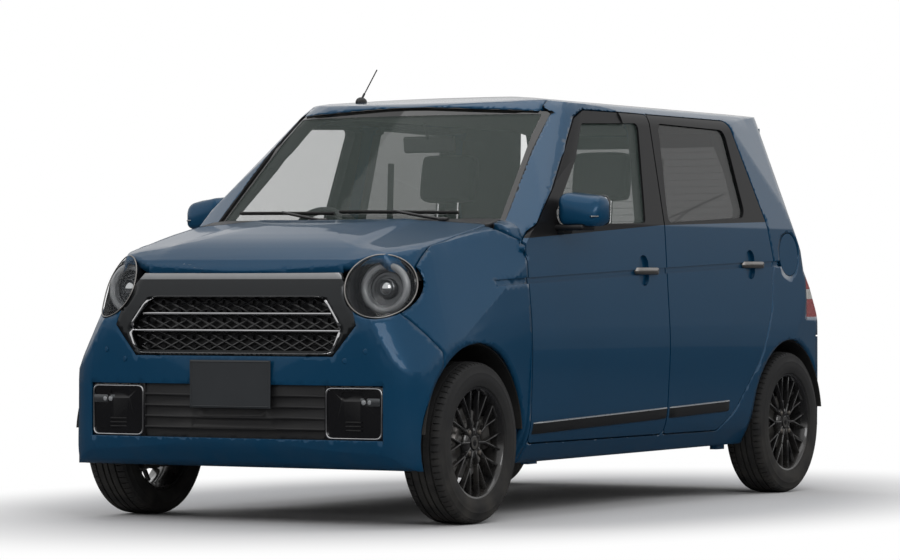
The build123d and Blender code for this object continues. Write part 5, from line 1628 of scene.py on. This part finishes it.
class CAR_OT_dash(Operator):
    """Steering wheel, instruments, screen, vents, lever, pedals and inner mirror"""
    bl_idname = "small_car.dash"
    bl_label = "Dashboard"

    def execute(self, context):
        axis = Vector((-math.cos(STEER_ANGLE), 0, math.sin(STEER_ANGLE)))
        frame_turn = Matrix((Vector((0, 1, 0)).cross(axis), Vector((0, 1, 0)), axis)).transposed()
        ring = start("torus", "wheel_grip", major_radius=0.163, minor_radius=0.0145, major_segments=72,
                     minor_segments=14)
        hub = slab("wheel_hub", (0.110, 0.130, 0.034), (-0.004, 0, -0.012), 0.022, segments=4)
        spokes = [slab(f"spoke_{k}", (0.026, 0.130, 0.013), (math.sin(a) * 0.105, math.cos(a) * 0.105, -0.006),
                       0.005, Matrix.Rotation(-a, 3, "Z")) for k, a in enumerate((0.0, math.pi,
                                                                                  math.radians(-90)))]
        wheel = join("wheel_grip", [ring, hub, *spokes])
        buttons = join("wheel_buttons", [slab(f"button_{s}_{k}", (0.010, 0.012, 0.004),
                                              (-0.006 + 0.012 * k, s * 0.088, 0.002), 0.0015) for s in (-1, 1)
                                         for k in (0, 1)])
        for piece, finish_name in ((wheel, "leather"), (buttons, "satin_silver")):
            set_place(piece)
            piece.data.transform(Matrix.Translation(STEER_CENTRE) @ frame_turn.to_4x4())
            dress(piece, "steering_wheel", "black_plastic", finish_name, smooth=60)
            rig.replaces(piece, "steering_wheel")
        column = tube("column", [STEER_CENTRE - axis * 0.030, STEER_CENTRE - axis * 0.150], 0.030)
        dress(column, "root", "black_plastic", "cabin_plastic", smooth=50)
        for name, y in (("indicator_stalk", -0.45), ("wiper_stalk", -0.21)):
            stalk = tube(name, [STEER_CENTRE - axis * 0.060,
                                STEER_CENTRE - axis * 0.060 + Vector((0, y + 0.33, 0.012))], 0.006)
            dress(stalk, "root", "black_plastic", "cabin_plastic", smooth=50)
        hood = slab("instrument_hood", (0.120, 0.300, 0.040), (0.650, -0.330, 0.992), 0.016, tip(12),
                    segments=4)
        dress(hood, "root", "black_plastic", "cabin_plastic", smooth=50)
        pieces = [("instruments", (0.006, 0.250, 0.074), (0.590, -0.330, 0.945), "screen"),
                  ("centre_screen", (0.010, 0.200, 0.120), (0.572, 0.0, 0.925), "screen"),
                  ("centre_surround", (0.006, 0.226, 0.146), (0.577, 0.0, 0.925), "gloss_black"),
                  ("heater_panel", (0.010, 0.170, 0.060), (0.573, 0.0, 0.800), "gloss_black"),
                  ("shelf_trim", (0.010, 0.420, 0.018), (0.573, 0.340, 0.850), "satin_silver"),
                  ("glovebox", (0.010, 0.360, 0.150), (0.573, 0.340, 0.700), "cabin_grey")]
        for name, size, place, finish_name in pieces:
            piece = slab(name, size, place, min(size) * 0.3, tip(-6))
            dress(piece, "root", "black_plastic", finish_name)
        for k, y in enumerate((-0.540, -0.150, 0.150, 0.540)):
            ring = turned(f"vent_{k}", [(0.027, -0.004), (0.034, -0.004), (0.034, 0.005), (0.027, 0.008)],
                          (0.572, y, 0.900), (-1, 0, 0), 32)
            slats = [slab(f"vent_slat_{k}_{j}", (0.006, 0.052, 0.003), (0.574, y, 0.900 + j * 0.011), 0.001)
                     for j in (-1, 0, 1)]
            dress(join(f"vent_{k}", [ring, *slats]), "root", "black_plastic", "gloss_black", smooth=50)
        lever = join("shift_lever", [tube("lever_stem", [(0.585, -0.10, 0.745), (0.535, -0.10, 0.790)], 0.007),
                                     slab("lever_knob", (0.036, 0.036, 0.052), (0.525, -0.10, 0.800), 0.014,
                                          segments=3)])
        dress(lever, "root", "black_plastic", "leather", smooth=50)
        for name, y, wide in (("brake_pedal", -0.315, 0.100), ("throttle_pedal", -0.215, 0.050)):
            pedal = join(name, [slab(f"{name}_pad", (0.010, wide, 0.060), (0.690, y, 0.410), 0.004, tip(-35)),
                                tube(f"{name}_arm", [(0.696, y, 0.412), (0.745, y, 0.600)], 0.007)])
            dress(pedal, "root", "black_plastic", "rubber", smooth=50)
        mirror = join("inner_mirror", [slab("inner_mirror_body", (0.022, 0.220, 0.062), (0.330, 0, 1.352),
                                            0.010, tip(8), 3),
                                       tube("inner_mirror_stem", [(0.335, 0, 1.365), (0.372, 0, 1.425)],
                                            0.006)])
        dress(mirror, "root", "black_plastic", "cabin_plastic", smooth=50)
        view = slab("inner_mirror_glass", (0.003, 0.205, 0.050), (0.3175, 0, 1.350), 0.001, tip(8))
        dress(view, "root", "lamp_lens", "mirror")
        return {"FINISHED"}


class CAR_OT_engine(Operator):
    """Engine bay and springs"""
    bl_idname = "small_car.engine"
    bl_label = "Engine bay"

    def execute(self, context):
        parts = [("engine_case", (0.300, 0.420, 0.400), (1.240, -0.060, 0.560), 0.030, "alloy"),
                 ("engine_head", (0.220, 0.380, 0.090), (1.220, -0.060, 0.795), 0.020, "cabin_plastic"),
                 ("gearbox", (0.280, 0.210, 0.300), (1.240, 0.225, 0.500), 0.050, "alloy"),
                 ("battery", (0.150, 0.120, 0.190), (1.120, 0.260, 0.740), 0.006, "cabin_grey"),
                 ("air_box", (0.180, 0.130, 0.110), (1.340, 0.250, 0.760), 0.020, "cabin_plastic"),
                 ("radiator", (0.030, 0.560, 0.330), (1.452, 0, 0.500), 0.006, "cast")]
        for name, size, place, bevel, finish_name in parts:
            piece = slab(name, size, place, bevel, segments=3)
            dress(piece, "root", "engine_alloy", finish_name, smooth=50)
            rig.replaces(piece, "engine_block")
        for k in range(6):
            rib = slab(f"head_rib_{k}", (0.200, 0.010, 0.006), (1.220, -0.210 + 0.060 * k, 0.8375), 0.002)
            dress(rib, "root", "engine_alloy", "cabin_plastic")
            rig.replaces(rib, "engine_block")
        for k, (x, z, r) in enumerate(((1.190, 0.420, 0.075), (1.330, 0.560, 0.045), (1.200, 0.680, 0.055))):
            pulley = turned(f"pulley_{k}", [(0.012, 0), (r, 0), (r * 0.94, 0.008), (r, 0.016), (0.012, 0.016)],
                            (x, -0.272, z), (0, -1, 0), 32)
            dress(pulley, "root", "engine_alloy", "steel", smooth=40)
            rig.replaces(pulley, "engine_block")
        hose = tube("coolant_hose", [(1.400, 0.150, 0.640), (1.360, 0.120, 0.720), (1.300, 0.060, 0.735),
                                     (1.240, 0.060, 0.720)], 0.016, smooth=True)
        dress(hose, "root", "engine_alloy", "rubber", smooth=60)
        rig.replaces(hose, "engine_block")
        for hand, sign in HANDS:
            shaft = join(f"drive_shaft_{hand}", [tube(f"shaft_bar_{hand}",
                                                      [(1.2435, sign * 0.300, 0.300),
                                                       (1.2435, sign * 0.470, 0.285)], 0.012),
                                                 tube(f"shaft_boot_{hand}",
                                                      [(1.2435, sign * 0.415, 0.290),
                                                       (1.2435, sign * 0.465, 0.285)], 0.032)])
            dress(shaft, "root", "underbody", "rubber", smooth=50)
            coils = [(-1.235 + 0.045 * math.cos(a), sign * 0.470 + 0.045 * math.sin(a), 0.300 + 0.0046 * a)
                     for a in (k * math.pi / 8 for k in range(72))]
            spring = tube(f"rear_spring_{hand}", coils, 0.0055, sides=2)
            dress(spring, "root", "underbody", "cast", smooth=60)
        return {"FINISHED"}


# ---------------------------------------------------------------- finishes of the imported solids
def node_finishes():
    """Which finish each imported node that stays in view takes."""
    plan = {
        **dict.fromkeys(("front_fenders", "front_bumper", "rear_bumper", "bonnet", "fuel_lid", "mirror_left",
                         "mirror_right", "spoiler"), "paint_plain"),
        "roof_panel": "paint_roof", "tailgate": "paint_gate", "windscreen": "screen_glass",
        "glass_front_left": "clear_glass", "glass_front_right": "clear_glass", "glass_rear_left": "dark_glass",
        "glass_rear_right": "dark_glass", "tailgate_glass": "heated_glass", "cowl": "black_plastic",
        "lower_grille": "black_plastic", "fog_bezels": "gloss_black", "front_wheel_liners": "liner",
        "rear_wheel_liners": "liner", "antenna": "rubber", "grille_mask": "grille_surround",
        "tail_lamps": "tail_lens", "floor_pan": "floor_finish", "front_frame": "underbody",
        "front_subframe": "underbody", "rear_axle": "underbody", "exhaust": "steel", "fuel_tank": "liner",
        "knuckle_left": "cast", "knuckle_right": "cast", "engine_block": "alloy", "dashboard": "cabin_plastic",
        "front_seats": "seat_fabric", "rear_seat": "seat_fabric", "steering_wheel": "leather",
        "headlamps": "lamp_glass",
        "grille": "gloss_black", "plate_front": "plate", "plate_rear": "plate",
    }
    for hand, _ in HANDS:
        plan[f"side_{hand}"] = f"paint_side_{hand}"
        for end in ("front", "rear"):
            plan[f"door_{end}_{hand}"] = f"paint_door_{hand}"
            plan[f"rim_{end}_{hand}"] = "wheel_black"
            plan[f"tyre_{end}_{hand}"] = "rubber"
    return plan


def tail_finish():
    """Red lamp with a clear band and fine ribs."""
    made, tree, shader = material("tail_lens", Coat_Weight=1.0, Coat_Roughness=0.03)
    where = node(tree, "TexCoord").outputs["Object"]
    height = node(tree, "SeparateXYZ", {0: where}).outputs["Z"]
    low = maths(tree, "GREATER_THAN", height, 0.772)
    high = maths(tree, "LESS_THAN", height, 0.812)
    pale = maths(tree, "MULTIPLY", low, high)
    colour = node(tree, "MixRGB", {0: pale, 1: (0.26, 0.006, 0.008, 1), 2: (0.45, 0.44, 0.42, 1)})
    cloudy = use(tree, "cloudiness", {"Colour": colour, "Scale": 40.0, "Amount": 0.3, "Roughness": 0.16})
    ribs = node(tree, "TexWave", {"Vector": where, "Scale": 90.0}, bands_direction="Z")
    bump = node(tree, "Bump", {"Height": ribs.outputs["Fac"], "Strength": 0.4, "Distance": 0.001})
    feed(tree, shader, {"Base Color": cloudy.outputs["Colour"], "Roughness": cloudy.outputs["Roughness"]})
    feed(tree, shader, {"Normal": bump})
    return made


def floor_finish():
    """Carpet above, painted steel below."""
    made, tree, shader = material("floor_finish")
    where = node(tree, "TexCoord")
    way = node(tree, "SeparateXYZ", {0: where.outputs["Normal"]}).outputs["Z"]
    top = maths(tree, "GREATER_THAN", way, 0.3)
    cloth = use(tree, "weave", {"Scale": 1300.0})
    # Painted highlight: the carpet pile is lighter on the raised crowns of the weave.
    pile = node(tree, "MixRGB", {0: cloth.outputs["Mask"], 1: (0.014, 0.014, 0.015, 1),
                                 2: (0.034, 0.034, 0.036, 1)})
    colour = node(tree, "MixRGB", {0: top, 1: (0.02, 0.021, 0.022, 1), 2: pile})
    dusty = use(tree, "road_dust", {"Colour": colour, "Roughness": 0.85, "Amount": 0.35})
    feed(tree, shader, {"Base Color": dusty.outputs["Colour"], "Roughness": dusty.outputs["Roughness"]})
    return made


FINISHES.update({
    "tail_lens": tail_finish,
    "floor_finish": floor_finish,
    "paint_plain": lambda: body_paint("paint_plain"),
    "paint_roof": lambda: body_paint("paint_roof", inside=(0, 0, -1), trim=(0.30, 0.29, 0.27)),
    "paint_gate": lambda: body_paint("paint_gate", inside=(1, 0, 0), trim=(0.05, 0.05, 0.052)),
    "paint_side_left": lambda: body_paint("paint_side_left", inside=(0, -1, 0), trim=(0.05, 0.05, 0.052)),
    "paint_side_right": lambda: body_paint("paint_side_right", inside=(0, 1, 0), trim=(0.05, 0.05, 0.052)),
    "paint_door_left": lambda: body_paint("paint_door_left", inside=(0, -1, 0), belt=True),
    "paint_door_right": lambda: body_paint("paint_door_right", inside=(0, 1, 0), belt=True),
})


class CAR_OT_body(Operator):
    """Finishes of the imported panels, glass and running gear"""
    bl_idname = "small_car.body"
    bl_label = "Body finishes"

    def execute(self, context):
        for name, finish_name in node_finishes().items():
            data = NODES[name].data
            data.materials.clear()
            data.materials.append(look(finish_name))
        return {"FINISHED"}


class CAR_OT_stage(Operator):
    """Floor, lights, surroundings and camera"""
    bl_idname = "small_car.stage"
    bl_label = "Stage"

    def execute(self, context):
        scene = context.scene
        scene.view_settings.view_transform = "Standard"
        floor = start("grid", "floor", x_subdivisions=8, y_subdivisions=8, size=60.0)
        made = bpy.data.materials.new("studio_floor")
        made.use_nodes = True
        tree = made.node_tree
        tree.nodes.remove(tree.nodes["Principled BSDF"])
        end = tree.nodes["Material Output"]
        where = node(tree, "TexCoord").outputs["Object"]
        far = node(tree, "VectorMath", {0: where, 1: (0.55, 0.9, 1.0)}, operation="MULTIPLY")
        length = node(tree, "VectorMath", {0: far}, operation="LENGTH")
        fade = node(tree, "MapRange", {"Value": length.outputs["Value"], "From Min": 1.0, "From Max": 1.9},
                    interpolation_type="SMOOTHSTEP")
        path = node(tree, "LightPath")
        seen = maths(tree, "MAXIMUM", path.outputs["Is Camera Ray"], path.outputs["Is Transmission Ray"])
        cover = maths(tree, "MULTIPLY", fade.outputs[0], seen)
        # Painted shade in reflections: the floor is light grey to other rays but near black to glossy rays, so the
        # body's lower panels reflect a dark floor.
        shade = node(tree, "MixRGB", {0: path.outputs["Is Glossy Ray"], 1: (0.80, 0.80, 0.81, 1),
                                      2: (0.10, 0.10, 0.105, 1)})
        matt = node(tree, "BsdfDiffuse", {"Color": shade})
        white = node(tree, "Emission", {"Color": (1, 1, 1, 1), "Strength": 1.0})
        mix = node(tree, "MixShader", {0: cover, 1: matt, 2: white})
        tree.links.new(mix.outputs[0], end.inputs["Surface"])
        floor.data.materials.append(made)
        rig.stage(floor)
        world = bpy.data.worlds.new("studio")
        world.use_nodes = True
        scene.world = world
        tree = world.node_tree
        back = tree.nodes["Background"]
        path = node(tree, "LightPath")
        seen = maths(tree, "MAXIMUM", path.outputs["Is Camera Ray"], path.outputs["Is Transmission Ray"])
        rise = node(tree, "SeparateXYZ", {0: node(tree, "TexCoord").outputs["Generated"]}).outputs["Z"]
        sky = node(tree, "MapRange", {"Value": rise, "From Min": 0.03, "From Max": 0.17, "To Min": 0.12,
                                      "To Max": 0.80}, interpolation_type="SMOOTHSTEP")
        shiny = node(tree, "Mix", {0: path.outputs["Is Glossy Ray"], 2: 0.42, 3: sky})
        level = node(tree, "Mix", {0: seen, 2: shiny, 3: 1.0})
        tree.links.new(level.outputs[0], back.inputs["Strength"])
        back.inputs["Color"].default_value = (1, 1, 1, 1)
        for name, place, power, wide in (("top", (0.3, 0.3, 4.2), 40, 3.6), ("key", (5.0, 4.5, 3.6), 90, 2.6),
                                         ("fill", (-4.5, 4.5, 2.8), 60, 2.6),
                                         ("back", (-4.0, -4.5, 3.4), 60, 2.6),
                                         ("far", (4.5, -4.5, 3.0), 50, 2.6)):
            light = bpy.data.lights.new(name, "AREA")
            light.energy, light.size = power, wide
            lamp = bpy.data.objects.new(name, light)
            scene.collection.objects.link(lamp)
            lamp.location, lamp.visible_glossy = place, name in ("top", "key")
            lamp.rotation_euler = (Vector((0, 0, 0.7)) - Vector(place)).to_track_quat("-Z", "Y").to_euler()
        camera = bpy.data.objects.new("camera", bpy.data.cameras.new("camera"))
        scene.collection.objects.link(camera)
        camera.data.sensor_width, camera.data.lens, camera.data.clip_end = 36.0, 159.28, 200.0
        camera.location = (13.1964, 7.4855, 0.8081)
        yaw, pitch = math.radians(209.896), math.radians(0.1448)
        ahead = Vector((math.cos(pitch) * math.cos(yaw), math.cos(pitch) * math.sin(yaw), math.sin(pitch)))
        camera.rotation_euler = ahead.to_track_quat("-Z", "Y").to_euler()
        scene.camera = camera
        return {"FINISHED"}


# ---------------------------------------------------------------- panel and running
STEPS = [cls for cls in list(globals().values())
         if isinstance(cls, type) and issubclass(cls, Operator) and cls is not Operator]


class CAR_PT_panel(Panel):
    """Steps that build the car's details"""
    bl_label = "Small Car"
    bl_idname = "CAR_PT_panel"
    bl_space_type = "VIEW_3D"
    bl_region_type = "UI"
    bl_category = "Small Car"

    def draw(self, context):
        for group in ("car_finish", "car_wheels", "car_lamps", "car_trim"):
            owner = getattr(context.scene, group)
            for key in owner.bl_rna.properties.keys():
                if key not in ("rna_type", "name"):
                    self.layout.prop(owner, key)
        for step in STEPS:
            self.layout.operator(step.bl_idname)


GROUPS = {"car_finish": CarFinish, "car_wheels": WheelSizes, "car_lamps": LampSizes, "car_trim": TrimSizes}


def register():
    for cls in (*GROUPS.values(), *STEPS, CAR_PT_panel):
        bpy.utils.register_class(cls)
    for name, cls in GROUPS.items():
        setattr(bpy.types.Scene, name, PointerProperty(type=cls))


def unregister():
    for name in GROUPS:
        delattr(bpy.types.Scene, name)
    for cls in (CAR_PT_panel, *reversed(STEPS), *GROUPS.values()):
        bpy.utils.unregister_class(cls)


def main():
    register()
    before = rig.bounds()
    for step in STEPS:
        group, name = step.bl_idname.split(".")
        getattr(getattr(bpy.ops, group), name)()
    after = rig.bounds()
    with open("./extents.json", "w") as file:
        json.dump({"cad": [list(corner) for corner in before], "visual": [list(corner) for corner in after]}, file)


if __name__ == "__main__":
    main()
